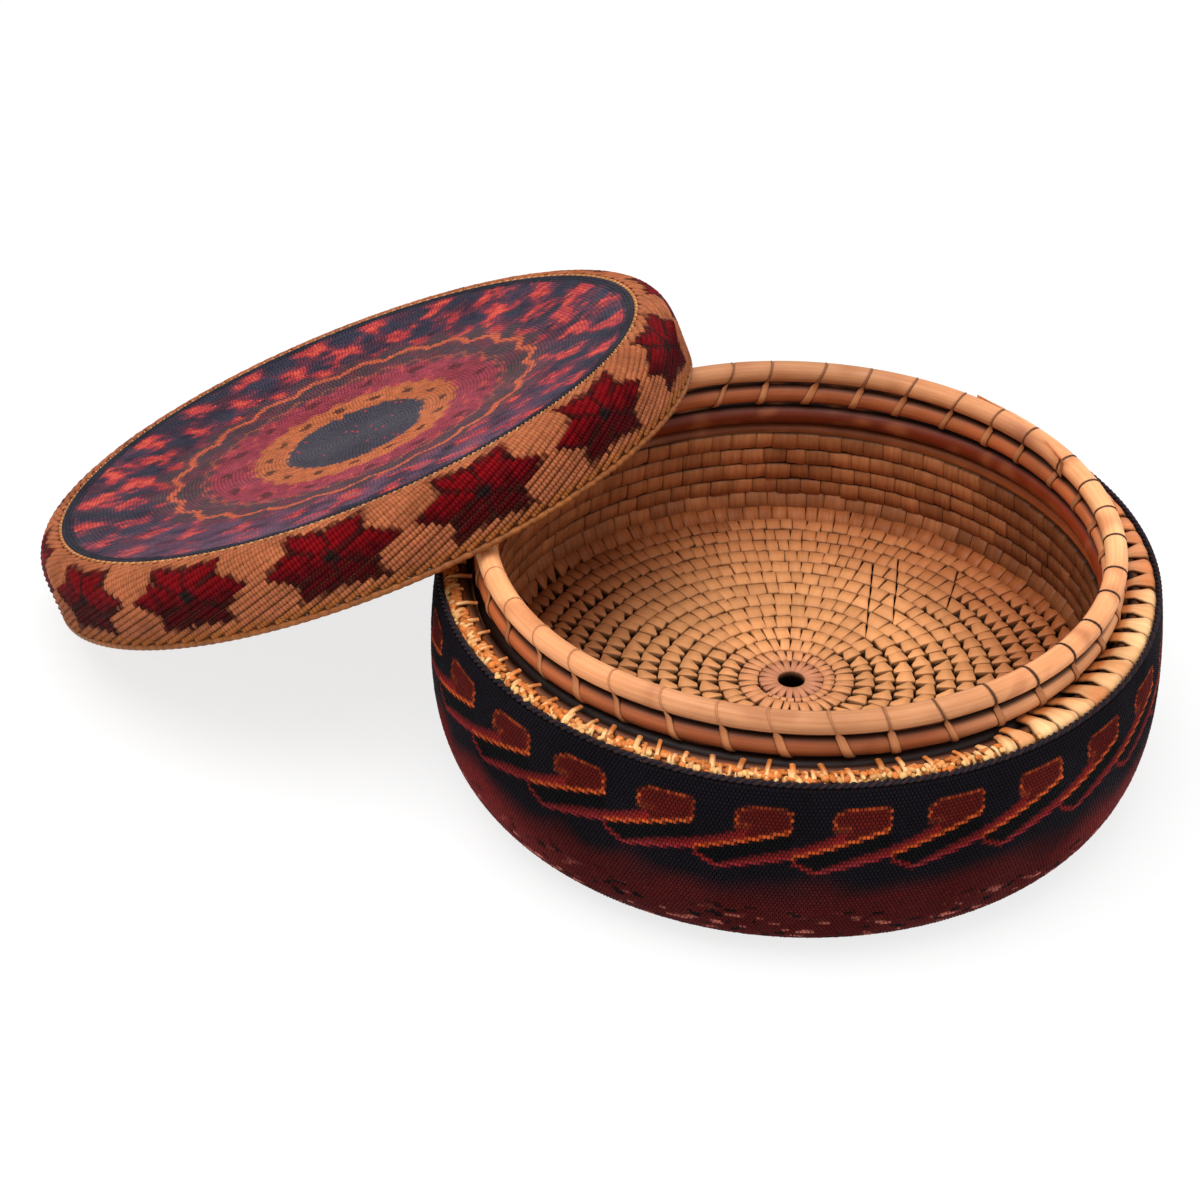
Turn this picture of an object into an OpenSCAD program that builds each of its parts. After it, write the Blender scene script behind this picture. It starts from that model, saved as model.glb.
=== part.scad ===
// Round box of coiled cane in a skin of beadwork, with its lid off and leaning on the rim.
// Millimetres, +Z up. The origin is the centre of the flat underside of the box.

/* [Rim] */
// Radius of the centre line of the rim rods
rim_radius = 93.1; // [80:0.1:110]
// Diameter of the rim rods
rim_rod_d = 6.8; // [5:0.1:8]
// Gap between the two rim rods
rim_rod_gap = 0.8; // [0.6:0.1:1.5]
// Number of cane ties round the rim
rim_tie_count = 38; // [20:1:48]
// Width of a cane tie
tie_width = 2.8; // [2:0.1:4]
// Thickness of a cane tie
tie_thick = 0.6; // [0.4:0.05:0.8]
// Compass angle of the splice in the top rim rod
splice_angle = 38; // [20:1:60]
// Width of the slit between the rod's ends at the splice
splice_slit = 0.9; // [0.5:0.1:1.5]

/* [Inner basket] */
// Diameter of the cane that is coiled into the floor and the wall
coil_rod_d = 5.6; // [5:0.1:6.5]
// Gap between the turns of the coil
coil_gap = 0.6; // [0.55:0.05:1]
// Radius of the hole at the middle of the floor
eye_radius = 4.3; // [3.5:0.1:6]
// Extra room that the first turn leaves for the straight start of the cane
eye_ease = 3; // [2.8:0.1:5]
// Radius at which the coil turns from the floor up into the wall
corner_radius = 10; // [9:0.5:14]
// Height from the floor coil to the last turn of the wall, between centres of the cane
coil_rise = 34.6; // [26:0.1:42]
// Inward lean of the wall
wall_lean = 6; // [2:0.5:9]
// Diameter of the two hoops that the inner floor stands on
foot_hoop_d = 9.6; // [7:0.1:12]
// Radius of the smaller of these hoops
foot_hoop_radius = 48; // [30:1:60]

/* [Ledge and wall] */
// Height from the ledge to the centre of the top rim rod
collar_rise = 10.2; // [9:0.1:14]
// Diameter of the two ledge rods
ledge_rod_d = 3.4; // [3:0.1:5]
// Gap between the two ledge rods
ledge_rod_gap = 0.4; // [0.3:0.1:1]
// Number of whip stitches round the ledge
ledge_stitch_count = 84; // [50:1:96]
// Width of a whip stitch
stitch_width = 3; // [2:0.1:4]
// Thickness of a whip stitch
stitch_thick = 0.5; // [0.3:0.05:0.7]
// Diameter of the cord along the top edge of the wall
edge_cord_d = 2; // [1.6:0.1:2.6]
// How far the wall swells past its top edge
wall_bulge = 2; // [0.5:0.1:6]
// Height at which the wall is widest
bulge_z = 36; // [30:0.5:45]
// How far the wall draws in at the table
foot_inset = 17; // [10:0.5:19]
// Height of the turn between the drawn-in foot and the wall
foot_turn_z = 5; // [3:0.5:10]
// Thickness of the base of the outer basket
base_thick = 6.4; // [5:0.1:8]
// Height of the band of beads round the foot
foot_band_z = 13; // [8:0.5:18]

/* [Skin] */
// Diameter of a bead, which is the thickness of the beadwork
bead_d = 1.5; // [1:0.1:2]
// Thickness of the cloth that the beads are sewn to
cloth_thick = 0.6; // [0.4:0.05:1]

/* [Lid] */
// Diameter of the three hoops of the lid wall
lid_rod_d = 6.4; // [5:0.1:7.5]
// Gap between the two lower hoops of the lid wall
lid_rod_gap = 0.6; // [0.5:0.1:1.2]
// How far the top hoop of the lid lies inside the other two
shoulder_inset = 1.5; // [0.5:0.1:3]
// Thickness of the coiled disc in the lid top
lid_disc_thick = 6.4; // [5:0.1:7.5]
// How far the lid top sinks at its middle
lid_dish = 9; // [3:0.5:10]
// Room between the closed lid and the rim
lid_fit = 1.2; // [0.8:0.1:2.5]
// Room between the rim top and the disc of the closed lid
lid_headroom = 2.3; // [1.5:0.1:5]
// Number of cane ties round the lid wall
lid_tie_count = 36; // [20:1:48]
// How far the cord between the top and the side beadwork lies inside the lid's outside
border_inset = 10.2; // [8:0.1:13]
// Diameter of that cord
border_cord_d = 1.5; // [1.2:0.1:1.8]
// Diameter of the cord along the bottom edge of the lid
hem_cord_d = 2.2; // [1.8:0.1:2.4]
// Height at which the lid wall starts to round over
shoulder_z = 12; // [9:0.5:14]

/* [Leaning lid] */
// Tilt of the lid
lid_tilt = 24.6; // [24:0.1:30]
// Compass angle that the lid leans down towards
lid_azimuth = 151; // [90:1:270]
// Gap between the leaning lid and the rim
lean_gap = 0.3; // [0.2:0.05:1]

/* [Hidden] */
$fn = 96;

// Small clearances between pieces that lie on each other
seat_gap = 0.1;
skin_gap = 0.05;
coil_seat_gap = 0.3;
// Height of the edge of the skin over the table
skin_lift = 0.3;
// Past every outline, for cuts
past = 1;
// Rings in each turn of a coil, and sides of its cane
coil_rings = 24;
coil_sides = 6;
// Points along each curve of an outline
curve_steps = 8;
// Share of the lid top's radius that its sunken middle heads along before it climbs
dish_flat = 0.35;

cane = [0.92, 0.72, 0.5];
cane_shaded = [0.62, 0.4, 0.22];
cane_floor = [0.84, 0.59, 0.35];
cloth_dark = [0.1, 0.08, 0.09];
navy = [0.1, 0.1, 0.14];
maroon = [0.36, 0.11, 0.1];
tan_bead = [0.74, 0.49, 0.26];
lid_navy = [0.17, 0.17, 0.24];

// Heights from the base up to the rim
floor_z = base_thick + seat_gap + foot_hoop_d + seat_gap + coil_rod_d / 2;
coil_top_z = floor_z + coil_rise;
collar_z = coil_top_z + coil_rod_d / 2 + coil_seat_gap + rim_rod_d / 2;
tie_room = seat_gap + tie_thick;
lower_rim_z = collar_z + rim_rod_d + tie_room + seat_gap;
top_rim_z = lower_rim_z + rim_rod_d + rim_rod_gap;
collar_top = top_rim_z + rim_rod_d / 2 + tie_room;
ledge_top = top_rim_z - collar_rise;
stitch_room = seat_gap + stitch_thick;
ledge_z = ledge_top - stitch_room - ledge_rod_d / 2;
wall_top = ledge_z - ledge_rod_d / 2 - stitch_room - seat_gap;
edge_cord_z = ledge_top - edge_cord_d / 2;
skin_top = edge_cord_z - edge_cord_d / 2 - seat_gap;

// Radii from the rim out to the beaded wall
collar_radius = rim_radius + rim_rod_d / 2 + tie_room;
ledge_inner_radius = collar_radius + seat_gap + stitch_room + ledge_rod_d / 2;
ledge_outer_radius = ledge_inner_radius + ledge_rod_d + ledge_rod_gap;
edge_cord_radius = ledge_outer_radius + ledge_rod_d / 2 + stitch_room + seat_gap + edge_cord_d / 2;
skin_thick = bead_d + skin_gap + cloth_thick + skin_gap;
edge_radius = edge_cord_radius + skin_thick / 2;
bulge_radius = edge_radius + wall_bulge;
foot_radius = bulge_radius - foot_inset;

// Radii of the inner basket, whose coil climbs one pitch along its profile in each turn
coil_pitch = coil_rod_d + coil_gap;
wall_turn = 90 + wall_lean;
coil_top_radius = rim_radius + (rim_rod_d - coil_rod_d) / 2;
corner_rise = corner_radius * (1 - cos(wall_turn));
corner_out = corner_radius * sin(wall_turn);
wall_run = (coil_rise - corner_rise) / cos(wall_lean);
corner_centre_radius = coil_top_radius + wall_run * sin(wall_lean) - corner_out;
floor_start = eye_radius + coil_rod_d / 2;
floor_run = corner_centre_radius - floor_start;
corner_run = corner_radius * wall_turn * PI / 180;
coil_room = coil_rod_d / 2 + coil_seat_gap;
outer_hoop_radius = corner_centre_radius - foot_hoop_d / 2;
hoop_hole_radius = outer_hoop_radius + foot_hoop_d / 2 + seat_gap;

// Heights and radii of the lid, from the plane of its lower edge
lid_rod_radius = collar_radius + lid_fit + tie_room + lid_rod_d / 2;
lid_lower_z = tie_room + lid_rod_d / 2;
lid_upper_z = lid_lower_z + lid_rod_d + lid_rod_gap;
lid_shoulder_z = lid_upper_z + lid_rod_d + tie_room + seat_gap;
shoulder_rod_radius = lid_rod_radius - shoulder_inset;
lid_disc_z = collar_top - ledge_top + lid_headroom;
lid_disc_radius = shoulder_rod_radius - lid_rod_d / 2 - seat_gap;
lid_top_z = max(lid_disc_z + lid_disc_thick, lid_shoulder_z + lid_rod_d / 2) + skin_thick;
lid_wall_radius = lid_rod_radius + lid_rod_d / 2 + tie_room + skin_thick;
hem_radius = lid_wall_radius - skin_thick / 2;
border_radius = lid_wall_radius - border_inset;
hem_z = hem_cord_d / 2;
lid_skin_z = hem_cord_d + seat_gap;
border_outer = border_radius + border_cord_d / 2 + 2 * seat_gap;
border_inner = border_radius - border_cord_d / 2 - skin_gap;
border_z = lid_top_z - border_cord_d / 2;

// A point on the curve that starts at a, heads for b and ends at c
function bend(a, b, c, t) = (1 - t) * (1 - t) * a + 2 * t * (1 - t) * b + t * t * c;
function bend_line(a, b, c, first = 0) = [for (i = [first:curve_steps]) bend(a, b, c, i / curve_steps)];

// A line moved by d to its left, which is inwards on an outline that runs upwards
function moved_in(line, d) = [
    for (i = [0:len(line) - 1])
        let (before = line[max(i - 1, 0)], after = line[min(i + 1, len(line) - 1)])
        let (way = (after - before) / norm(after - before))
        line[i] + d * [-way[1], way[0]]
];
function backwards(line) = [for (i = [len(line) - 1:-1:0]) line[i]];

// Outline of the beaded wall from the table to its top edge
wall_line = concat(
    bend_line([foot_radius, skin_lift], [bulge_radius, foot_turn_z], [bulge_radius, bulge_z]),
    bend_line([bulge_radius, bulge_z], [bulge_radius, (bulge_z + skin_top) / 2], [edge_radius, skin_top], 1)
);

// Outline of the lid's beaded side from its lower edge to the border cord
lid_line = concat(
    [[lid_wall_radius, lid_skin_z]],
    bend_line([lid_wall_radius, shoulder_z], [lid_wall_radius, lid_top_z], [border_outer, lid_top_z])
);

// Line of the sunken lid top from its middle to radius r, with its edge at height z
dish_radius = min(lid_disc_radius, border_inner);
function dish_line(z, r) = concat(
    bend_line([0, z - lid_dish], [dish_flat * dish_radius, z - lid_dish], [dish_radius, z]),
    r > dish_radius ? [[r, z]] : []
);

// Spot on the profile of the inner basket, q along it from the eye, as [radius, height, slope]
function basket_spot(q) =
    q < floor_run ? [floor_start + q, floor_z, 0]
    : q < floor_run + corner_run
    ? let (turn = (q - floor_run) / corner_radius * 180 / PI)
      [corner_centre_radius + corner_radius * sin(turn), floor_z + corner_radius * (1 - cos(turn)), turn]
    : let (up = q - floor_run - corner_run)
      [corner_centre_radius + corner_out - up * sin(wall_lean),
       floor_z + corner_rise + up * cos(wall_lean), wall_turn];

// Distance along the profile after ring i of the coil
function coil_run(i) = let (turns = i / coil_rings) coil_pitch * turns + eye_ease * min(turns, 1);
coil_last = floor((floor_run + corner_run + wall_run - eye_ease) / coil_pitch * coil_rings);
// The floor coil ends, and the wall coil starts, where the corner begins
coil_middle = floor((floor_run - eye_ease) / coil_pitch * coil_rings);

// Ring i of the coil as [centre, compass angle, slope of the profile]
function coil_ring(i) =
    let (spot = basket_spot(coil_run(i)), a = 360 * i / coil_rings)
    [[spot[0] * cos(a), spot[0] * sin(a), spot[1]], a, spot[2]];
// The eye end of the cane runs straight for one diameter
function straight_start(first, second) =
    [first[0] + coil_rod_d * (first[0] - second[0]) / norm(first[0] - second[0]), first[1], first[2]];
floor_path = concat(
    [straight_start(coil_ring(0), coil_ring(1))], [for (i = [0:coil_middle]) coil_ring(i)]
);
wall_path = [for (i = [coil_middle:coil_last]) coil_ring(i)];

// Least gap of the coil to itself, between rings that are at least half a turn apart
coil_path = concat(floor_path, [for (i = [coil_middle + 1:coil_last]) coil_ring(i)]);
coil_self_gap = min([
    for (i = [0:len(coil_path) - 1], j = [i + coil_rings / 2:1:len(coil_path) - 1])
        norm(coil_path[i][0] - coil_path[j][0])
]) - coil_rod_d;
echo(coil_self_gap = coil_self_gap, coil_turns = coil_last / coil_rings);

// Height of the leaning lid's own origin, with its hem cord on the table
lid_z = hem_radius * sin(lid_tilt) - hem_z * cos(lid_tilt) + hem_cord_d / 2;
// Place of the centre line of the lid's lower hoop at angle a: along the lean, across it and up
function hoop_along(reach, a) =
    reach + lid_rod_radius * cos(a) * cos(lid_tilt) + lid_lower_z * sin(lid_tilt);
function hoop_across(a) = lid_rod_radius * sin(a);
function hoop_up(a) = lid_z - lid_rod_radius * cos(a) * sin(lid_tilt) + lid_lower_z * cos(lid_tilt);
// Distance from there to the centre line of the top rim rod
function hoop_to_rim(reach, a) =
    norm([norm([hoop_along(reach, a), hoop_across(a)]) - rim_radius, hoop_up(a) - top_rim_z]);
hoop_room = rim_rod_d / 2 + tie_room + lid_rod_d / 2 + tie_room + lean_gap;
near_angles = [90:0.5:180];
// Height of the underside of the lid's disc at radius r from its middle
function disc_under(r) =
    let (turn = 1 - 2 * dish_flat, far = min(r / dish_radius, 1))
    let (t = (sqrt(dish_flat * dish_flat + turn * far) - dish_flat) / turn)
    lid_disc_z - lid_dish * (1 - t * t);
// Least room between the disc and a hoop of the box, from the hoop's radius, height and thickness
function under_disc(reach, radius, z, d) = min([
    for (b = [-90:1:90])
        let (along = radius * cos(b) - reach, across = radius * sin(b), up = z - lid_z)
        let (r = norm([along * cos(lid_tilt) - up * sin(lid_tilt), across]))
        r > lid_disc_radius + d / 2 ? lid_wall_radius
        : disc_under(r) - along * sin(lid_tilt) - up * cos(lid_tilt) - d / 2
]);
function lid_clears(reach) =
    min([for (a = near_angles) hoop_to_rim(reach, a)]) > hoop_room
    && under_disc(reach, rim_radius, top_rim_z, rim_rod_d + 2 * tie_room) > lean_gap
    && under_disc(reach, edge_cord_radius, edge_cord_z, edge_cord_d) > lean_gap;
// Smallest reach from the box's axis at which the lid clears the rim, found by halving
function lean_reach(low, high, steps) =
    steps == 0 ? high
    : let (middle = (low + high) / 2)
      lid_clears(middle) ? lean_reach(low, middle, steps - 1) : lean_reach(middle, high, steps - 1);
lid_reach = lean_reach(rim_radius + rim_rod_d * 3, rim_radius + lid_wall_radius + rim_rod_d, 24);
// Where the two come nearest: a tie of the lid lies on a tie of the rim there
near_rooms = [for (a = near_angles) hoop_to_rim(lid_reach, a)];
near_spots = [for (a = near_angles) a];
touch_angle = near_spots[search(min(near_rooms), near_rooms)[0]];
rim_touch_angle = lid_azimuth + atan2(hoop_across(touch_angle), hoop_along(lid_reach, touch_angle));
echo(lid_reach = lid_reach, lid_z = lid_z, lid_top_z = lid_top_z, collar_top = collar_top);
echo(touch_angle = touch_angle, rim_touch_angle = rim_touch_angle);

// Repeated shapes

module hoop(radius, d, z) {
    translate([0, 0, z]) rotate_extrude() translate([radius, 0]) circle(d = d);
}

// Flat area round two circles of radius r, from [0, 0] to [length, 0]
module slot_area(length, r) {
    circle(r = r);
    translate([length, 0]) circle(r = r);
    translate([0, -r]) square([length, 2 * r]);
}

// Loop of flat strip round two rods that lie side by side
module strip_loop(length, rod_d, thick, width) {
    linear_extrude(height = width, center = true) difference() {
        slot_area(length, rod_d / 2 + seat_gap + thick);
        slot_area(length, rod_d / 2 + seat_gap);
    }
}

// Loops round two rods, one over the other, spread evenly round a circle
module upright_loops(count, start, radius, z, length, rod_d) {
    for (i = [0:count - 1])
        rotate([0, 0, start + i * 360 / count])
            translate([radius, 0, z]) rotate([90, 0, 0]) rotate([0, 0, 90])
                strip_loop(length, rod_d, tie_thick, tie_width);
}

// Band of even thickness under a line of the outline
module band(line, from, to) {
    rotate_extrude() polygon(concat(moved_in(line, from), backwards(moved_in(line, to))));
}

// Cane along a coil: triangles between rings of coil_sides points
module coil_cane(path) {
    last = len(path) - 1;
    ring_points = [
        for (ring = path, k = [0:coil_sides - 1])
            let (side = 360 * k / coil_sides + ring[2], reach = coil_rod_d / 2)
            ring[0] + reach * [cos(side) * cos(ring[1]), cos(side) * sin(ring[1]), sin(side)]
    ];
    function at(i, k) = i * coil_sides + k % coil_sides;
    sides = [
        for (i = [0:last - 1], k = [0:coil_sides - 1], half = [0, 1])
            half == 0 ? [at(i, k), at(i, k + 1), at(i + 1, k)] : [at(i, k + 1), at(i + 1, k + 1), at(i + 1, k)]
    ];
    start_cap = [for (k = [1:coil_sides - 2]) [at(0, 0), at(0, k + 1), at(0, k)]];
    end_cap = [for (k = [1:coil_sides - 2]) [at(last, 0), at(last, k), at(last, k + 1)]];
    polyhedron(points = ring_points, faces = concat(sides, start_cap, end_cap));
}

// Solid inside the cloth of the wall, from the table to the top of the outer basket
module basket_form() {
    inside = moved_in(wall_line, skin_thick);
    intersection() {
        rotate_extrude() polygon(concat(
            [[0, 0], [inside[0][0] - seat_gap, 0]], inside, [[0, inside[len(inside) - 1][1]]]
        ));
        cylinder(r = bulge_radius + past, h = wall_top);
    }
}

module on_lid() {
    translate([lid_reach * cos(lid_azimuth), lid_reach * sin(lid_azimuth), lid_z])
        rotate([0, lid_tilt, lid_azimuth]) children();
}

// Pieces of the box

module outer_base() {
    color(cane_shaded) intersection() {
        basket_form();
        cylinder(r = bulge_radius + past, h = base_thick);
    }
}

module outer_wall() {
    // The hollow follows the inner basket's corner and wall from outside
    corner_start = asin((hoop_hole_radius - corner_centre_radius) / (corner_radius + coil_room));
    corner_line = [
        for (i = [0:curve_steps])
            let (turn = corner_start + (wall_turn - corner_start) * i / curve_steps)
            [corner_centre_radius + (corner_radius + coil_room) * sin(turn),
             floor_z + corner_radius - (corner_radius + coil_room) * cos(turn)]
    ];
    hollow_top = [coil_top_radius + coil_room, wall_top + past];
    color(cane_shaded) difference() {
        basket_form();
        translate([0, 0, -past]) cylinder(r = bulge_radius + past, h = base_thick + past);
        rotate_extrude() polygon(concat(
            [[0, base_thick - past], [hoop_hole_radius, base_thick - past]], corner_line,
            [hollow_top, [0, wall_top + past]]
        ));
    }
}

module foot_hoops() {
    color(cane_shaded) {
        hoop(foot_hoop_radius, foot_hoop_d, base_thick + seat_gap + foot_hoop_d / 2);
        hoop(outer_hoop_radius, foot_hoop_d, base_thick + seat_gap + foot_hoop_d / 2);
    }
}

module floor_coil() { color(cane_floor) coil_cane(floor_path); }

module wall_coil() { color(cane_shaded) coil_cane(wall_path); }

module collar_rod() { color(cane) hoop(rim_radius, rim_rod_d, collar_z); }

module lower_rim_rod() { color(cane) hoop(rim_radius, rim_rod_d, lower_rim_z); }

module top_rim_rod() {
    slit_angle = 2 * asin(splice_slit / 2 / rim_radius);
    color(cane) translate([0, 0, top_rim_z]) rotate([0, 0, splice_angle + slit_angle / 2])
        rotate_extrude(angle = 360 - slit_angle) translate([rim_radius, 0]) circle(d = rim_rod_d);
}

module rim_ties() {
    color(cane) upright_loops(
        rim_tie_count, rim_touch_angle, rim_radius, lower_rim_z, top_rim_z - lower_rim_z, rim_rod_d
    );
}

module ledge_inner_rod() { color(cane) hoop(ledge_inner_radius, ledge_rod_d, ledge_z); }

module ledge_outer_rod() { color(cane) hoop(ledge_outer_radius, ledge_rod_d, ledge_z); }

module ledge_stitches() {
    color(cane) for (i = [0:ledge_stitch_count - 1])
        rotate([0, 0, i * 360 / ledge_stitch_count])
            translate([ledge_inner_radius, 0, ledge_z]) rotate([90, 0, 0])
                strip_loop(ledge_outer_radius - ledge_inner_radius, ledge_rod_d, stitch_thick, stitch_width);
}

module wall_cloth() { color(cloth_dark) band(wall_line, bead_d + skin_gap, bead_d + skin_gap + cloth_thick); }

module wall_beads() { band(wall_line, 0, bead_d); }

module wall_beadwork() {
    color(navy) difference() {
        wall_beads();
        translate([0, 0, -past]) cylinder(r = bulge_radius + past, h = foot_band_z + past);
    }
}

module foot_beadwork() {
    color(maroon) intersection() {
        wall_beads();
        cylinder(r = bulge_radius + past, h = foot_band_z);
    }
}

module wall_edge_cord() { color(maroon) hoop(edge_cord_radius, edge_cord_d, edge_cord_z); }

// Pieces of the lid

module lid_lower_rod() { color(cane) on_lid() hoop(lid_rod_radius, lid_rod_d, lid_lower_z); }

module lid_upper_rod() { color(cane) on_lid() hoop(lid_rod_radius, lid_rod_d, lid_upper_z); }

module lid_shoulder_rod() { color(cane) on_lid() hoop(shoulder_rod_radius, lid_rod_d, lid_shoulder_z); }

module lid_ties() {
    color(cane) on_lid() upright_loops(
        lid_tie_count, touch_angle, lid_rod_radius, lid_lower_z, lid_upper_z - lid_lower_z, lid_rod_d
    );
}

// Sheet of even thickness under the line of the lid top
module dished_sheet(z, r, thick) {
    rotate_extrude() polygon(concat(dish_line(z - thick, r), backwards(dish_line(z, r))));
}

module lid_disc() {
    color(cane_floor) on_lid() dished_sheet(lid_disc_z + lid_disc_thick, lid_disc_radius, lid_disc_thick);
}

module lid_cloth() {
    outside = moved_in(lid_line, bead_d + skin_gap);
    inside = moved_in(lid_line, bead_d + skin_gap + cloth_thick);
    top = lid_top_z - bead_d - skin_gap;
    color(cloth_dark) on_lid() rotate_extrude() polygon(concat(
        outside, backwards(dish_line(top, border_inner)),
        dish_line(top - cloth_thick, border_inner), backwards(inside)
    ));
}

module lid_side_beadwork() { color(tan_bead) on_lid() band(lid_line, 0, bead_d); }

module lid_top_beadwork() { color(lid_navy) on_lid() dished_sheet(lid_top_z, border_inner, bead_d); }

module lid_border_cord() { color(tan_bead) on_lid() hoop(border_radius, border_cord_d, border_z); }

module lid_hem_cord() { color(cane) on_lid() hoop(hem_radius, hem_cord_d, hem_z); }

outer_base();
outer_wall();
foot_hoops();
floor_coil();
wall_coil();
collar_rod();
lower_rim_rod();
top_rim_rod();
rim_ties();
ledge_inner_rod();
ledge_outer_rod();
ledge_stitches();
wall_cloth();
wall_beadwork();
foot_beadwork();
wall_edge_cord();
lid_lower_rod();
lid_upper_rod();
lid_shoulder_rod();
lid_ties();
lid_disc();
lid_cloth();
lid_side_beadwork();
lid_top_beadwork();
lid_border_cord();
lid_hem_cord();
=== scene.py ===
"""Beaded round box of coiled cane, its lid off and leaning on the rim. Shapes are in millimetres."""

import math

import bpy
import numpy as np
from mathutils import Matrix


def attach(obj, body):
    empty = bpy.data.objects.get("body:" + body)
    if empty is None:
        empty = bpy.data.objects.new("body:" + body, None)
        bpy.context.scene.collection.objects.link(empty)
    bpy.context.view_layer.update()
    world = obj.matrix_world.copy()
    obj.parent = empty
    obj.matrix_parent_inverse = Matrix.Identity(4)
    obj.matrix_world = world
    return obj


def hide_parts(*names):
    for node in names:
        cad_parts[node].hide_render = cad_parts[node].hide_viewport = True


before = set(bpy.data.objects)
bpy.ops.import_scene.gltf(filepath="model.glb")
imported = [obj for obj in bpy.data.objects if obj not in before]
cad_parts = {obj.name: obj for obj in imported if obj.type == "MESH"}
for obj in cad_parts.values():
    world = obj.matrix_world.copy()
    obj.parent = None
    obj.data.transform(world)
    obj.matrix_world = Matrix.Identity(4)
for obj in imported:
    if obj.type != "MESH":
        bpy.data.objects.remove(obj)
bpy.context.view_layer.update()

MM = 0.001
TAU = 2 * math.pi
UP = np.array([0.0, 0.0, 1.0])

# Rim and ledge, from the part's named sizes
RIM_RADIUS = 93.1
RIM_ROD = 6.8
COLLAR_Z = 60.1
LOWER_RIM_Z = 67.7
TOP_RIM_Z = 75.3
RIM_TIES = 38
RIM_TIE_START = math.radians(188.644)
SPLICE = math.radians(38)
LEDGE_INNER = 99.6
LEDGE_OUTER = 103.4
LEDGE_Z = 62.8
LEDGE_ROD = 3.4
LEDGE_STITCHES = 84
EDGE_CORD = (106.8, 64.1, 2.0)

# Inner basket
COIL_PITCH = 6.2
FLOOR_Z = 19.0
FLOOR_START = 7.1
EYE_EASE = 3.0
EYE_OUTER = 9.9
CORNER_RADIUS = 10.0
CORNER_CENTRE = 86.23
WALL_TURN = math.radians(96)
COIL_RUN = 119.58

# Beaded wall and foot: outline from the table up
BEAD = 1.5
WALL_BEAD = 1.2
TOP_BEAD = 1.2
TOP_TALL = 0.75
CLOTH = 0.6
BACKING_DEPTH = 0.7
SKIN_GAP = 0.05
BASE_THICK = 6.4
BASE_LIP = 90.3
BASE_RADIUS = 98.4
FOOT_CURVE = ((92.9, 0.3), (109.9, 5.0), (109.9, 36.0))
WALL_CURVE = ((109.9, 36.0), (109.9, 49.5), (107.9, 63.0))

# Lid, in its own frame
LID_RADIUS = 108.4
LID_TOP = 25.2
LID_ROD = 6.4
LID_ROD_RADIUS = 102.3
LID_LOWER_Z = 3.9
LID_UPPER_Z = 10.9
LID_SHOULDER = (100.8, 18.1)
LID_TIES = 36
LID_TIE_START = math.radians(145.5)
LID_DISC_TOP = 23.0
LID_DISC_THICK = 6.4
LID_DISC_RADIUS = 97.5
LID_DISH = 9.0
DISH_FLAT = 0.35
DISH_RADIUS = 97.4
BORDER_CORD = (98.2, 24.45, 1.5)
BORDER_OUTER = 99.15
HEM_CORD = (107.3, 1.1, 2.2)
LID_SKIN_Z = 2.3
LID_SHOULDER_Z = 12.0
LID_TILT = math.radians(24.6)
LID_AZIMUTH = math.radians(151)
LID_REACH = 150.154
LID_Z = 44.767
LID_TURN = np.array(Matrix.Rotation(LID_AZIMUTH, 3, "Z") @ Matrix.Rotation(LID_TILT, 3, "Y"))
LID_PLACE = np.array([LID_REACH * math.cos(LID_AZIMUTH), LID_REACH * math.sin(LID_AZIMUTH), LID_Z])


# Numbers and lines

def srgb(red, green, blue):
    """A linear colour from screen values of 0 to 255."""
    share = np.array([red, green, blue]) / 255
    return np.where(share <= 0.04045, share / 12.92, ((share + 0.055) / 1.055) ** 2.4)


def unit(vectors):
    """Vectors scaled to length one."""
    return vectors / np.linalg.norm(vectors, axis=-1, keepdims=True)


def fade(low, high, value):
    """0 below low, 1 above high, and a smooth climb between."""
    share = np.clip((value - low) / (high - low), 0, 1)
    return share * share * (3 - 2 * share)


def paint(tints, mask, colour):
    """Tints moved towards a colour by a mask of 0 to 1."""
    return tints + np.asarray(mask)[..., None] * (colour - tints)


def band(value, low, high, soft):
    """1 between two limits and 0 outside them, with soft edges."""
    return fade(low - soft, low + soft, value) * (1 - fade(high - soft, high + soft, value))


def compass(angle):
    """Directions out from the axis and round it, at each angle."""
    level = np.zeros_like(angle)
    out = np.stack([np.cos(angle), np.sin(angle), level], -1)
    return out, np.stack([-np.sin(angle), np.cos(angle), level], -1)


def wander(angle, seed, low=2, high=10):
    """Slow wobble round a hoop: a sum of whole waves of seeded sizes and phases, from -1 to 1."""
    rng = np.random.default_rng(seed)
    waves = np.arange(low, high)
    size = rng.uniform(0.4, 1, waves.size) / np.sqrt(waves)
    phase = rng.uniform(0, TAU, waves.size)
    return (size * np.sin(np.multiply.outer(angle, waves) + phase)).sum(-1) / size.sum() * 1.6


def patches(points, size, seed):
    """Soft uneven patches in space: a mean of slanted waves about that long, from -1 to 1."""
    rng = np.random.default_rng(seed)
    ways = unit(rng.normal(size=(10, 3))) * (TAU / size * rng.uniform(0.6, 1.7, (10, 1)))
    return np.sin(points @ ways.T + rng.uniform(0, TAU, 10)).mean(-1) * 2.0


def wrapped(angle):
    """Angles brought to within half a turn of zero."""
    return (angle + math.pi) % TAU - math.pi


def plain(colour, count):
    """One colour for each of a number of points."""
    return np.repeat(colour[None], count, 0)


def circle(count):
    """Even angles round a circle, and the two directions at each of them."""
    side = TAU * np.arange(count) / count
    return side, np.stack([np.cos(side), np.sin(side)], -1)


def bend(start, towards, end, count=40):
    """Points on the curve that leaves start, heads for towards and arrives at end."""
    t = np.linspace(0, 1, count)[:, None]
    return (1 - t) ** 2 * np.array(start) + 2 * t * (1 - t) * np.array(towards) + t * t * np.array(end)


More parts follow.
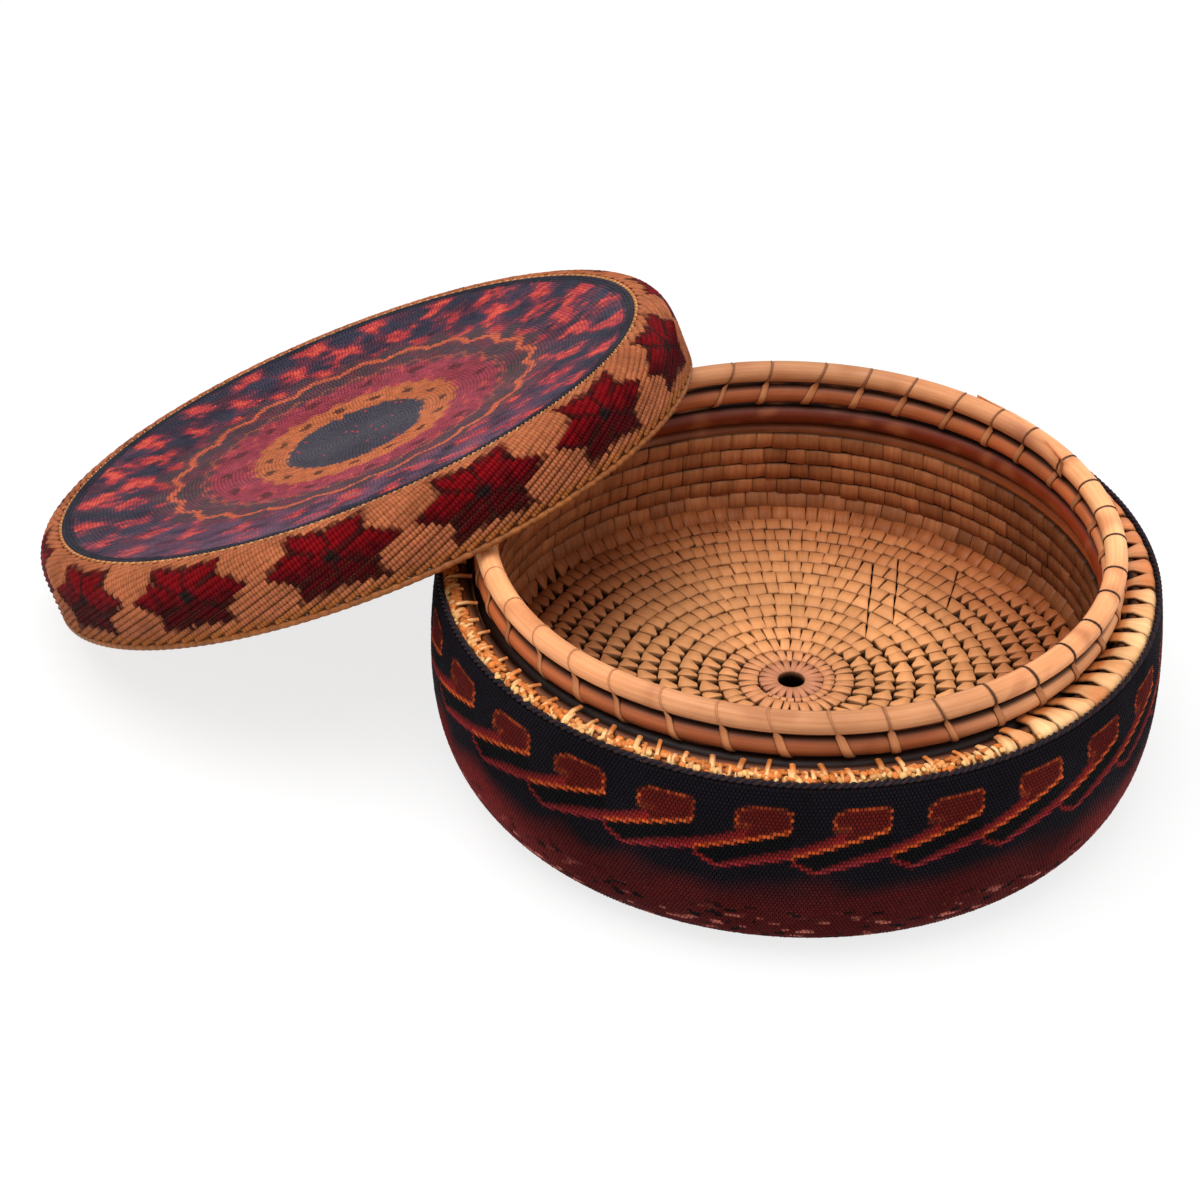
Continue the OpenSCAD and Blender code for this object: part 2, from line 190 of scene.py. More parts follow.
def line_length(line):
    """Length of a line of points."""
    return float(np.linalg.norm(np.diff(line, axis=0), axis=1).sum())


def walk(line, at):
    """Spots on a line of radius and height, and its directions there, at distances along it."""
    run = np.r_[0, np.cumsum(np.linalg.norm(np.diff(line, axis=0), axis=1))]
    spot = np.stack([np.interp(at, run, line[:, k]) for k in (0, 1)], -1)
    way = np.stack([np.interp(at, run, np.gradient(line[:, k], run)) for k in (0, 1)], -1)
    return spot, unit(way)


def inwards(line):
    """Directions to the left of a line of radius and height, which is inwards where it climbs."""
    way = unit(np.gradient(line, axis=0))
    return np.stack([-way[:, 1], way[:, 0]], -1)


def turned(line, columns):
    """Points of a line of radius and height at even angles round the axis."""
    out, _ = compass(TAU * np.arange(columns) / columns)
    return (line[:, None, 0:1] * out[None] + line[:, None, 1:2] * UP).reshape(-1, 3)


def dish_drop(radius):
    """Drop of the lid top below its edge: a curve that is flat at the middle and climbs to the edge."""
    t = np.linspace(0, 1, 200)
    reach = (2 * t * (1 - t) * DISH_FLAT + t * t) * DISH_RADIUS
    return np.interp(radius, reach, LID_DISH * (1 - t * t))


# Meshes

def grid_faces(rows, columns, round_rows=False, round_columns=False):
    """Quads between the points of a grid, as point numbers and as row and column places."""
    i, j = np.indices((rows - 1 + round_rows, columns - 1 + round_columns))
    row = np.stack([i, i + 1, i + 1, i], -1).reshape(-1, 4)
    column = np.stack([j, j, j + 1, j + 1], -1).reshape(-1, 4)
    return (row % rows) * columns + column % columns, row, column


def repeated(faces, count, step):
    """The faces of one shape for count shapes of step points each."""
    return (faces[None] + step * np.arange(count)[:, None, None]).reshape(-1, faces.shape[1])


def add_piece(name, points, faces, finish, body, stands_for, tint=None, uv=None):
    """A mesh from an array of points and a list of face arrays, riding on a body in place of CAD nodes.

    Lid pieces are given in the lid's frame and turned into their place here. tint is a colour for each
    point, uv a list of places for each face corner.
    """
    if body == "lid":
        points = points @ LID_TURN.T + LID_PLACE
    mesh = bpy.data.meshes.new(name)
    corners = np.concatenate([f.ravel() for f in faces])
    sizes = np.concatenate([np.full(len(f), f.shape[1]) for f in faces])
    mesh.vertices.add(len(points))
    mesh.vertices.foreach_set("co", (points * MM).astype(np.float32).ravel())
    mesh.loops.add(len(corners))
    mesh.loops.foreach_set("vertex_index", corners.astype(np.int32))
    mesh.polygons.add(len(sizes))
    mesh.polygons.foreach_set("loop_start", (np.cumsum(sizes) - sizes).astype(np.int32))
    mesh.update(calc_edges=True)
    mesh.validate()
    mesh.shade_smooth()
    if tint is not None:
        colour = np.ones((len(points), 4), np.float32)
        colour[:, :3] = np.clip(tint, 0, 1)
        mesh.attributes.new("tint", "FLOAT_COLOR", "POINT").data.foreach_set("color", colour.ravel())
    if uv is not None:
        places = np.concatenate([u.reshape(-1, 2) for u in uv]).astype(np.float32)
        mesh.uv_layers.new(name="grain").uv.foreach_set("vector", places.ravel())
    mesh.materials.append(finish)
    piece = bpy.data.objects.new(name, mesh)
    bpy.context.scene.collection.objects.link(piece)
    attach(piece, body)
    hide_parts(*stands_for)
    return piece


def round_ring(sides):
    """Points round a circle of width one, from the top."""
    side = TAU * np.arange(sides) / sides + TAU / 4
    return np.stack([np.cos(side), np.sin(side)], -1) / 2


def barrel(ring, stations, swell, ends):
    """A closed barrel along x: a ring at each station, scaled by swell, and a point at each end."""
    sides = len(ring)
    body = [np.column_stack([np.full(sides, x), ring * w]) for x, w in zip(stations, swell)]
    points = np.concatenate(body + [np.array([[-ends, 0, 0], [ends, 0, 0]])])
    k = np.arange(sides)
    nxt = (k + 1) % sides
    rows = np.arange(len(stations) - 1)[:, None] * sides
    quads = np.stack([rows + k, rows + nxt, rows + sides + nxt, rows + sides + k], -1).reshape(-1, 4)
    last = (len(stations) - 1) * sides
    start = np.stack([np.full(sides, last + sides), nxt, k], -1)
    end = np.stack([np.full(sides, last + sides + 1), last + k, last + nxt], -1)
    return points, quads, np.concatenate([start, end])


def set_out(shape, centres, along, outward, size):
    """Copies of a shape at centres: its x runs along, z outward and y across, and size scales the three."""
    across = np.cross(outward, along)
    local = shape * size[:, None]
    return (
        centres[:, None]
        + local[..., 0:1] * along[:, None]
        + local[..., 1:2] * across[:, None]
        + local[..., 2:3] * outward[:, None]
    )


def hoop(angle, radius, height, section):
    """Points of a section carried round a circle: section is out and up for each angle and corner."""
    out, _ = compass(angle)
    spots = np.asarray(radius)[..., None] * out + np.asarray(height)[..., None] * UP
    return spots[:, None] + section[..., 0:1] * out[:, None] + section[..., 1:2] * UP


# Materials

def group_of(name, inputs, outputs):
    """An empty shader node group with named sockets, and its input and output nodes."""
    tree = bpy.data.node_groups.new(name, "ShaderNodeTree")
    kinds = {"value": "NodeSocketFloat", "colour": "NodeSocketColor", "vector": "NodeSocketVector"}
    for socket, kind, default in inputs:
        made = tree.interface.new_socket(socket, in_out="INPUT", socket_type=kinds[kind])
        if default is not None:
            made.default_value = default
    for socket, kind in outputs:
        tree.interface.new_socket(socket, in_out="OUTPUT", socket_type=kinds[kind])
    return tree, tree.nodes.new("NodeGroupInput"), tree.nodes.new("NodeGroupOutput")


def put(tree, value, socket):
    """A link to a socket, or a plain value on it."""
    if isinstance(value, bpy.types.NodeSocket):
        tree.links.new(value, socket)
    else:
        socket.default_value = value


def node(tree, kind, settings=None, **sockets):
    """A node with its settings, and with values or links put on its inputs, by name or as i and a number."""
    made = tree.nodes.new(kind)
    for key, value in (settings or {}).items():
        setattr(made, key, value)
    for key, value in sockets.items():
        numbered = key[0] == "i" and key[1:].isdigit()
        put(tree, value, made.inputs[int(key[1:]) if numbered else key.replace("_", " ")])
    return made


def maths(tree, operation, first, second=0.0):
    """One sum on two values."""
    return node(tree, "ShaderNodeMath", {"operation": operation}, i0=first, i1=second).outputs[0]


def span(tree, value, low, high, start, end):
    """A value from low to high turned into start to end, held outside."""
    made = node(
        tree, "ShaderNodeMapRange", {"clamp": True}, Value=value,
        From_Min=low, From_Max=high, To_Min=start, To_Max=end,
    )
    return made.outputs["Result"]


def blended(tree, share, first, second, how="MIX"):
    """Two colours mixed by a share."""
    settings = {"data_type": "RGBA", "blend_type": how}
    return node(tree, "ShaderNodeMix", settings, i0=share, i6=first, i7=second).outputs[2]


def noise(tree, place, scale, detail=3.0, roughness=0.55, stretch=None):
    """Noise at a place, stretched along its axes."""
    if stretch:
        place = node(tree, "ShaderNodeMapping", Vector=place, Scale=stretch).outputs[0]
    made = node(tree, "ShaderNodeTexNoise", Vector=place, Scale=scale, Detail=detail, Roughness=roughness)
    return made.outputs["Fac"]


def cane_fibre_group():
    """Split or peeled cane: fine streaks along the grain, broad blotches and the height of the fibres."""
    tree, given, result = group_of(
        "cane_fibre",
        [
            ("Place", "vector", None), ("Tint", "colour", None),
            ("Streaks", "value", 0.4), ("Blotches", "value", 0.3),
        ],
        [("Colour", "colour"), ("Roughness", "value"), ("Height", "value")],
    )
    streak = noise(tree, given.outputs["Place"], 2.2, 5.0, 0.65, (0.12, 5.0, 1.0))
    blotch = noise(tree, given.outputs["Place"], 0.9, 3.0, 0.5, (0.35, 1.0, 1.0))
    dark_streak = span(tree, streak, 0.36, 0.62, 1.0, 0.0)
    dark_blotch = span(tree, blotch, 0.35, 0.6, 1.0, 0.0)
    streaked = maths(tree, "MULTIPLY", dark_streak, given.outputs["Streaks"])
    blotched = maths(tree, "MULTIPLY", dark_blotch, given.outputs["Blotches"])
    deep = blended(tree, 1.0, given.outputs["Tint"], (0.42, 0.25, 0.13, 1), "MULTIPLY")
    warm = blended(tree, 1.0, given.outputs["Tint"], (0.66, 0.5, 0.36, 1), "MULTIPLY")
    colour = blended(tree, streaked, given.outputs["Tint"], deep)
    colour = blended(tree, blotched, colour, blended(tree, streaked, warm, deep))
    tree.links.new(colour, result.inputs["Colour"])
    tree.links.new(span(tree, streak, 0.3, 0.7, 0.62, 0.42), result.inputs["Roughness"])
    tree.links.new(streak, result.inputs["Height"])
    return tree


def grime_group():
    """Handling and dust: patches in the object's own space that darken a colour and dull its gloss."""
    tree, given, result = group_of(
        "grime",
        [
            ("Place", "vector", None), ("Colour", "colour", None),
            ("Amount", "value", 0.3), ("Size", "value", 60.0),
        ],
        [("Colour", "colour"), ("Roughness", "value")],
    )
    broad = noise(tree, given.outputs["Place"], given.outputs["Size"], 4.0, 0.6)
    mask = maths(tree, "MULTIPLY", span(tree, broad, 0.42, 0.66, 0.0, 1.0), given.outputs["Amount"])
    dirty = blended(tree, 1.0, given.outputs["Colour"], (0.45, 0.38, 0.34, 1), "MULTIPLY")
    colour = blended(tree, mask, given.outputs["Colour"], dirty)
    tree.links.new(colour, result.inputs["Colour"])
    tree.links.new(span(tree, broad, 0.35, 0.7, 0.55, 0.8), result.inputs["Roughness"])
    return tree


CANE_FIBRE = cane_fibre_group()
GRIME = grime_group()


def new_finish(name):
    """A material with its node tree and shader."""
    made = bpy.data.materials.new(name)
    made.use_nodes = True
    return made, made.node_tree, made.node_tree.nodes["Principled BSDF"]


def grouped(tree, group, **sockets):
    """A node group placed in a material with its own values."""
    return node(tree, "ShaderNodeGroup", {"node_tree": group}, **sockets)


def own_tint(tree):
    """The tint of a piece's points."""
    return node(tree, "ShaderNodeAttribute", {"attribute_name": "tint"}).outputs["Color"]


def own_place(tree):
    """Places in a piece's own space."""
    return node(tree, "ShaderNodeTexCoord").outputs["Object"]


def cane_finish(name, streaks, blotches, grime, relief, gloss=0.35):
    """Cane in the tint of its points, with fibres along the grain map and handling marks."""
    made, tree, shader = new_finish(name)
    tint = own_tint(tree)
    place = node(tree, "ShaderNodeUVMap", {"uv_map": "grain"}).outputs["UV"]
    fibre = grouped(tree, CANE_FIBRE, Place=place, Tint=tint, Streaks=streaks, Blotches=blotches)
    coords = own_place(tree)
    worn = grouped(tree, GRIME, Place=coords, Colour=fibre.outputs["Colour"], Amount=grime, Size=45.0)
    bump = node(tree, "ShaderNodeBump", Strength=relief, Distance=0.0003, Height=fibre.outputs["Height"])
    tree.links.new(worn.outputs["Colour"], shader.inputs["Base Color"])
    tree.links.new(fibre.outputs["Roughness"], shader.inputs["Roughness"])
    tree.links.new(bump.outputs["Normal"], shader.inputs["Normal"])
    shader.inputs["Specular IOR Level"].default_value = gloss
    return made


def bead_finish(name, grime, gloss):
    """Seed beads of opaque glass: one tint to a bead, dulled in patches by handling."""
    made, tree, shader = new_finish(name)
    tint = own_tint(tree)
    coords = own_place(tree)
    worn = grouped(tree, GRIME, Place=coords, Colour=tint, Amount=grime, Size=38.0)
    tree.links.new(worn.outputs["Colour"], shader.inputs["Base Color"])
    tree.links.new(worn.outputs["Roughness"], shader.inputs["Roughness"])
    shader.inputs["Specular IOR Level"].default_value = gloss
    return made


def cloth_finish(name):
    """Plain weave in the piece's own space, in the tint of its points: two sets of fine ridges."""
    made, tree, shader = new_finish(name)
    tint = own_tint(tree)
    coords = own_place(tree)
    warp, weft = (
        node(tree, "ShaderNodeTexWave", {"bands_direction": way}, Vector=coords, Scale=scale, Distortion=0.6)
        for way, scale in (("Z", 450.0), ("DIAGONAL", 300.0))
    )
    weave = maths(tree, "MULTIPLY", warp.outputs["Fac"], weft.outputs["Fac"])
    colour = blended(tree, weave, blended(tree, 1.0, tint, (0.4, 0.36, 0.34, 1), "MULTIPLY"), tint)
    worn = grouped(tree, GRIME, Place=coords, Colour=colour, Amount=0.4, Size=50.0)
    bump = node(tree, "ShaderNodeBump", Strength=0.5, Distance=0.0002, Height=weave)
    tree.links.new(worn.outputs["Colour"], shader.inputs["Base Color"])
    tree.links.new(bump.outputs["Normal"], shader.inputs["Normal"])
    shader.inputs["Roughness"].default_value = 0.9
    shader.inputs["Specular IOR Level"].default_value = 0.2
    return made


RIM_CANE = cane_finish("rim_cane", 0.3, 0.3, 0.2, 0.3, 0.25)
FLOOR_CANE = cane_finish("floor_cane", 0.16, 0.12, 0.12, 0.3, 0.2)
INSIDE_CANE = cane_finish("inside_cane", 0.45, 0.35, 0.5, 0.4, 0.2)
LEDGE_CANE = cane_finish("ledge_cane", 0.5, 0.35, 0.25, 0.5, 0.25)
BASE_CANE = cane_finish("base_cane", 0.5, 0.4, 0.5, 0.5, 0.2)
HEM_CANE = cane_finish("hem_cane", 0.5, 0.4, 0.4, 0.5, 0.25)
WALL_GLASS = bead_finish("wall_bead_glass", 0.3, 0.07)
FOOT_GLASS = bead_finish("foot_bead_glass", 0.4, 0.07)
SIDE_GLASS = bead_finish("lid_side_bead_glass", 0.25, 0.05)
TOP_GLASS = bead_finish("lid_top_bead_glass", 0.25, 0.15)
EDGE_THREAD = bead_finish("edge_cord_thread", 0.4, 0.1)
BACKING = cloth_finish("backing_cloth")


# Cane hoops and their bindings

CANE = srgb(220, 158, 108)
CANE_BROWN = srgb(168, 98, 58)
SEAM = srgb(58, 28, 15)
# Height of a rod's top over its middle, in steps between tied rods, and where the ties show most
TIE_REACH = 0.447
TIES_CLEAR = math.radians(345)
# Painted shade in the gaps between the rods
GAP_SHADE = srgb(34, 14, 6)
TIE_CANE = srgb(200, 132, 86)
TIE_FAINT = srgb(196, 132, 88)
TIE_UNDER = srgb(120, 66, 36)
TIE_THICK = 0.38
# Colour of the painted light on a rod's lit side
CANE_PALE = srgb(238, 172, 122)
# The collar and the lower rod carry painted shade: their cane is painted darker than the top rod's
COLLAR_CANE = srgb(118, 41, 9)
LOWER_RIM_CANE = srgb(188, 103, 59)
TOP_RIM_CANE = srgb(236, 165, 114)
COIL_END_CANE = srgb(150, 78, 38)
LID_HOOP_CANE = srgb(206, 150, 98)
PACKING = 1.7
# A hoop's sway out and up, and how far a knot of the cane reaches along it
HOOP_SWAY = (0.22, 0.16)
KNOT_REACH = 2.2
# Splice: length of its lap, the gap in it, how thin the outer end gets, its step and the colour of the
# painted shade on the rod's inner side along it
SPLICE_LAP = 45.0
SPLICE_GAP = 0.2
SPLICE_THIN = 0.72
SPLICE_STEP = 0.9
SPLICE_SHADE = srgb(128, 66, 50)
# Points along a hoop and round its section
HOOP_GRID = (600, 16)
RIM_GRID = (1520, 18)
PACKING_GRID = (300, 8)
LID_GRID = (720, 12)


def tie_strength(angle):
    """How dark the ties show on the upper rod: most at the right, less at the back, hardly elsewhere."""
    right = fade(0.15, 0.9, np.cos(angle - TIES_CLEAR))
    back = 0.55 * fade(0.2, 0.9, np.sin(angle))
    return 0.08 + 0.9 * np.maximum(right, back)


def tie_distance(angle, side, ties, radius, at, reach):
    """Distance in millimetres from each point of a rod to the nearest tie that crosses it.

    A tie leans as it climbs. at is the height of the rod's middle in steps from one tied rod to the other,
    counted from half way between them, and reach the part of a step to the rod's top.
    """
    angles, lean = ties
    height = at + reach * np.sin(side)
    apart = wrapped(angle[:, None, None] - angles + lean * height[None, :, None] / radius)
    return np.abs(apart).min(-1) * radius


def cane_hoop(
    name, radius, height, rod, seed, stands_for, body="box", ties=None, tie_at=0.0, colour=CANE,
    splice=None, dark_sides=(), pale_at=None, grid=HOOP_GRID,
):
    """A peeled cane bent to a hoop: a round section that wobbles a little and swells at its nodes.

    A shallow dark groove follows each tie. With a splice angle, the two ends overlap there along one slanted
    plane, and the outer end stops short in a step, with painted shade on the rod's inner side along the lap.
    dark_sides are angles round the section where it meets a neighbour, each with how far painted shade
    reaches round from there. Round the angle pale_at, the cane carries painted light and is paler. All
    round, the cane is painted lighter at angle zero and half a turn and darker a quarter turn from them, as
    painted light. grid is the number of points along the hoop and round its section.
    """
    count, sides = grid
    lap = SPLICE_LAP
    begin = 0.0 if splice is None else splice - lap / 2 / radius
    whole = TAU if splice is None else TAU + lap / radius
    angle = begin + whole * np.arange(count) / (count if splice is None else count - 1)
    rng = np.random.default_rng(seed)
    knots = np.sort(rng.uniform(0, TAU, 4))
    near = np.abs(wrapped(angle[:, None] - knots)).min(-1) * radius
    knot = np.exp(-((near / KNOT_REACH) ** 2))
    side, ring = circle(sides)
    size = rod / 2 * (0.985 + 0.012 * wander(angle, seed, 5, 30) + 0.03 * knot)
    section = size[:, None, None] * ring
    if ties is not None:
        away = tie_distance(angle, side, ties, radius, tie_at, TIE_REACH)
        section = section * (1 - 0.05 * (1 - fade(0.1, 0.9, away))[..., None])
    if splice is not None:
        first = (angle - begin) * radius
        last = (angle - begin - TAU) * radius
        under = (first / lap * rod - rod / 2 - SPLICE_GAP)[:, None]
        over = (SPLICE_THIN * last / lap * rod - rod / 2 + SPLICE_GAP)[:, None]
        inner = np.maximum(np.minimum(section[..., 0], under), -rod / 2)
        section[..., 0] = np.where((first < lap)[:, None], inner, section[..., 0])
        outer = np.maximum(section[..., 0], over)
        section[..., 0] = np.where((last > 0)[:, None], np.minimum(outer, rod / 2), section[..., 0])
        section[..., 0] += SPLICE_STEP * np.clip(last / lap, 0, 1)[:, None]
    sway = radius + HOOP_SWAY[0] * wander(angle, seed + 1)
    rise = height + HOOP_SWAY[1] * wander(angle, seed + 2)
    points = hoop(angle, sway, rise, section)
    quads, row, column = grid_faces(count, sides, round_rows=splice is None, round_columns=True)
    along = whole * radius / 10 / count
    uv = np.stack([row * along, column * (rod * math.pi / 10 / sides)], -1)
    faces = [quads]
    places = [uv]
    if splice is not None:
        ends = np.stack([np.arange(sides)[::-1], (count - 1) * sides + np.arange(sides)])
        faces.append(ends)
        places.append(np.zeros((2, sides, 2)))
    spots = points.reshape(-1, 3)
    tint = colour * (1 + 0.10 * patches(spots, 40, seed + 3))[:, None]
    # Painted light: lighter at angle zero and half a turn, darker at the quarter turns; on the box that is
    # the right and left against the front and back
    tint = tint * np.repeat(1.0 + 0.36 * np.cos(2 * angle), sides)[:, None]
    tint = paint(tint, np.repeat(0.45 * knot, sides), CANE_BROWN)
    tint = paint(tint, 0.45 * fade(0.1, 0.9, patches(spots * (1, 1, 2.5), 16, seed + 4)), CANE_BROWN)
    # Painted light: the cane is painted paler round the angle pale_at
    if pale_at is not None:
        pale = 0.8 * fade(0.72, 0.95, np.cos(angle - pale_at))
        tint = paint(tint, np.repeat(pale, sides), CANE_PALE)
    # Painted shade on the sides where the section meets a neighbour
    for centre, reach in dark_sides:
        apart = np.abs(wrapped(side - centre))
        tint = paint(tint, np.tile(1 - fade(reach - 0.16, reach + 0.16, apart), count), GAP_SHADE)
    if ties is not None:
        strong = tie_strength(angle)
        tint = paint(tint, (strong[:, None] * (1 - fade(0.25, 0.7, away))).ravel(), SEAM)
    if splice is not None:
        # Painted shade on the rod's inner side along the splice's lap
        cut = np.maximum(1 - np.abs(first - lap / 2) / lap * 2, 1 - np.abs(last - lap / 2) / lap * 2)
        inside = np.tile(fade(-0.2, 0.7, -np.cos(side)), count)
        tint = paint(tint, np.repeat(np.clip(cut, 0, 1) * 0.7, sides) * inside, SPLICE_SHADE)
    return add_piece(name, spots, faces, RIM_CANE, body, stands_for, tint, places)


STRIP = np.array([[-1.0, 0.0], [-0.8, 0.85], [0.0, 1.15], [0.8, 0.85], [1.0, 0.0]])
STRIP_EDGE = np.array([1.0, 0.13, 0.0, 0.13, 1.0])


def strips(lines, width, thick, angle, slant, colour, closed, edge_shade):
    """Flat strips of cane bent along lines of out and up, one at each angle, with a crowned section.

    lines is an array of strips, spots and the pair of radius and height. slant moves each spot round by
    that many millimetres. edge_shade is how dark the strip's edges are. Gives points, faces, tints and grain
    places.
    """
    count, spots = lines.shape[:2]
    if closed:
        way = np.roll(lines, -1, 1) - np.roll(lines, 1, 1)
    else:
        way = np.gradient(lines, axis=1)
    way = unit(way)
    normal = np.stack([way[..., 1], -way[..., 0]], -1)
    out, round_ = compass(angle)
    across = -round_[:, None]
    base = lines[..., 0:1] * out[:, None] + lines[..., 1:2] * UP + slant[..., None] * across
    lift = normal[..., 0:1] * out[:, None] + normal[..., 1:2] * UP
    points = (
        base[:, :, None]
        + (width[:, :, None, None] * STRIP[:, 0:1] / 2) * across[:, :, None]
        + (thick * STRIP[:, 1:2]) * lift[:, :, None]
    )
    k = len(STRIP)
    quads, row, column = grid_faces(spots, k, round_rows=closed, round_columns=True)
    step = spots * k
    faces = [repeated(quads, count, step)]
    offset = np.arange(count)[:, None, None, None] * np.array([1.7, 0.6])
    uv = np.stack([row * 0.06, column * 0.07], -1)[None] + offset
    places = [uv]
    if not closed:
        caps = np.stack([np.arange(k)[::-1], (spots - 1) * k + np.arange(k)])
        faces.append(repeated(caps, count, step))
        places.append(np.zeros((2 * count, k, 2)))
    shade = 1 - np.multiply.outer(np.broadcast_to(edge_shade, (count, spots)), STRIP_EDGE)
    tint = colour[:, :, None] * shade[..., None]
    return points.reshape(-1, 3), faces, tint.reshape(-1, 3), places


def pinched_loop(rod, spacing, lift, sink, waist, count=11):
    """Closed line round two rods, one over the other: most of a circle round each, drawn in between them.

    It lies lift above the lower rod and sink below the upper one's surface.
    """
    upper = np.radians(np.linspace(-36, 216, count))
    lower = np.radians(np.linspace(144, 396, count))
    over = rod / 2 - sink
    under = rod / 2 + lift
    top = np.stack([over * np.cos(upper), spacing / 2 + over * np.sin(upper)], -1)
    low = np.stack([under * np.cos(lower), -spacing / 2 + under * np.sin(lower)], -1)
    return np.concatenate([top, [[-waist, 0]], low, [[waist, 0]]])


def bindings(name, count, start, radius, low_z, high_z, rod, seed, stands_for, body="box"):
    """Cane ties round two rods: pinched loops that lean, thin on the upper rod and broad on the lower.

    Gives the angles and leans of the ties.
    """
    rng = np.random.default_rng(seed)
    angle = start + TAU * np.arange(count) / count + np.r_[0, rng.uniform(-0.012, 0.012, count - 1)]
    loop = pinched_loop(rod, high_z - low_z, 0.08, 0.26, 2.1)
    lines = np.repeat(loop[None], count, 0) + np.array([radius, (low_z + high_z) / 2])
    lean = rng.uniform(1.8, 3.8, count)
    height = (lines[..., 1] - low_z) / (high_z - low_z) - 0.5
    top = fade(-0.1, 0.3, height)
    width = rng.uniform(2.0, 3.2, count)[:, None] * (1 - 0.72 * top)
    colour = TIE_CANE * rng.uniform(0.75, 1.1, (count, 1))
    colour = np.repeat(colour[:, None], len(loop), 1)
    faint = paint(TIE_FAINT, tie_strength(angle), SEAM)
    colour = paint(colour, top, faint[:, None])
    # Painted shade where each tie passes under the lower rod
    colour = paint(colour, 0.5 * (1 - fade(-0.9, -0.5, height)), TIE_UNDER)
    edges = 0.6 - 0.55 * top * (1 - tie_strength(angle))[:, None]
    slant = lean[:, None] * height
    points, faces, tint, places = strips(lines, width, TIE_THICK, angle, slant, colour, True, edges)
    add_piece(name, points, faces, RIM_CANE, body, stands_for, tint, places)
    return angle, lean


rim_tie_places = bindings(
    "rim_bindings", RIM_TIES, RIM_TIE_START, RIM_RADIUS, LOWER_RIM_Z, TOP_RIM_Z, RIM_ROD, 3, ["rim_ties"],
)
DOWN_SIDE = -TAU / 4
UP_SIDE = TAU / 4
cane_hoop(
    "collar_hoop", RIM_RADIUS, COLLAR_Z, RIM_ROD, 11, ["collar_rod"], colour=COLLAR_CANE,
    dark_sides=((UP_SIDE, 0.6), (0.0, 1.2)),
)
cane_hoop(
    "lower_rim_hoop", RIM_RADIUS, LOWER_RIM_Z, RIM_ROD, 21, ["lower_rim_rod"],
    ties=rim_tie_places, tie_at=-0.5, colour=LOWER_RIM_CANE,
    dark_sides=((UP_SIDE, 0.6), (DOWN_SIDE, 0.6)), pale_at=math.radians(-28), grid=RIM_GRID,
)
cane_hoop(
    "top_rim_hoop", RIM_RADIUS, TOP_RIM_Z, RIM_ROD, 31, ["top_rim_rod"],
    ties=rim_tie_places, tie_at=0.5, splice=SPLICE, colour=TOP_RIM_CANE,
    dark_sides=((DOWN_SIDE, 0.65),), grid=RIM_GRID,
)
# A thin tube in each gap between two rods, in the colour of the painted shade there
for height, above, below in ((LOWER_RIM_Z, "upper", "lower_rim_rod"), (COLLAR_Z, "lower", "collar_rod")):
    cane_hoop(
        f"rim_gap_shade_{above}", RIM_RADIUS, height + (TOP_RIM_Z - LOWER_RIM_Z) / 2, PACKING, 51, [below],
        colour=GAP_SHADE, grid=PACKING_GRID,
    )


# Ledge that the lid sits on

LEDGE_CLEAR = math.radians(5)
LEDGE_KNOTS = 1000
LEDGE_TUFT = 3
LEDGE_GRID = (360, 8)
# Painted shade under the lower rod, on the ledge's hoops
LEDGE_DEEP = srgb(44, 21, 10)
LEDGE_BROWN = srgb(176, 100, 50)
KNOT_CANE = srgb(230, 134, 60)
KNOT_PALE = srgb(255, 206, 134)
STRAND = srgb(226, 138, 72)
STRAND_TIP = srgb(255, 212, 150)
STRAND_PALE = srgb(255, 206, 148)
STRAND_ORANGE = srgb(232, 140, 78)
STRAND_FAR = srgb(222, 124, 72)
# Painted shade on the strands' inner ends
STRAND_INNER = srgb(130, 74, 42)
# Radius and height of a strand where it slopes down to the collar
STRAND_FOOT = ((98.2, 64.3), (96.8, 63.9), (95.2, 63.45), (94.4, 63.4))
KNOT_POINTS, KNOT_QUADS, KNOT_ENDS = barrel(round_ring(6), (-0.3, 0.3), (1.0, 1.0), 0.5)


def grain_places(points, faces, count):
    """Grain map of many copies of a barrel: round it and along it, moved on from one copy to the next."""
    place = np.stack([np.arctan2(points[:, 2], points[:, 1]), points[:, 0] * 0.6], -1)
    return [place[f][None] + np.arange(count)[:, None, None, None] * np.array([0.73, 0.31]) for f in faces]


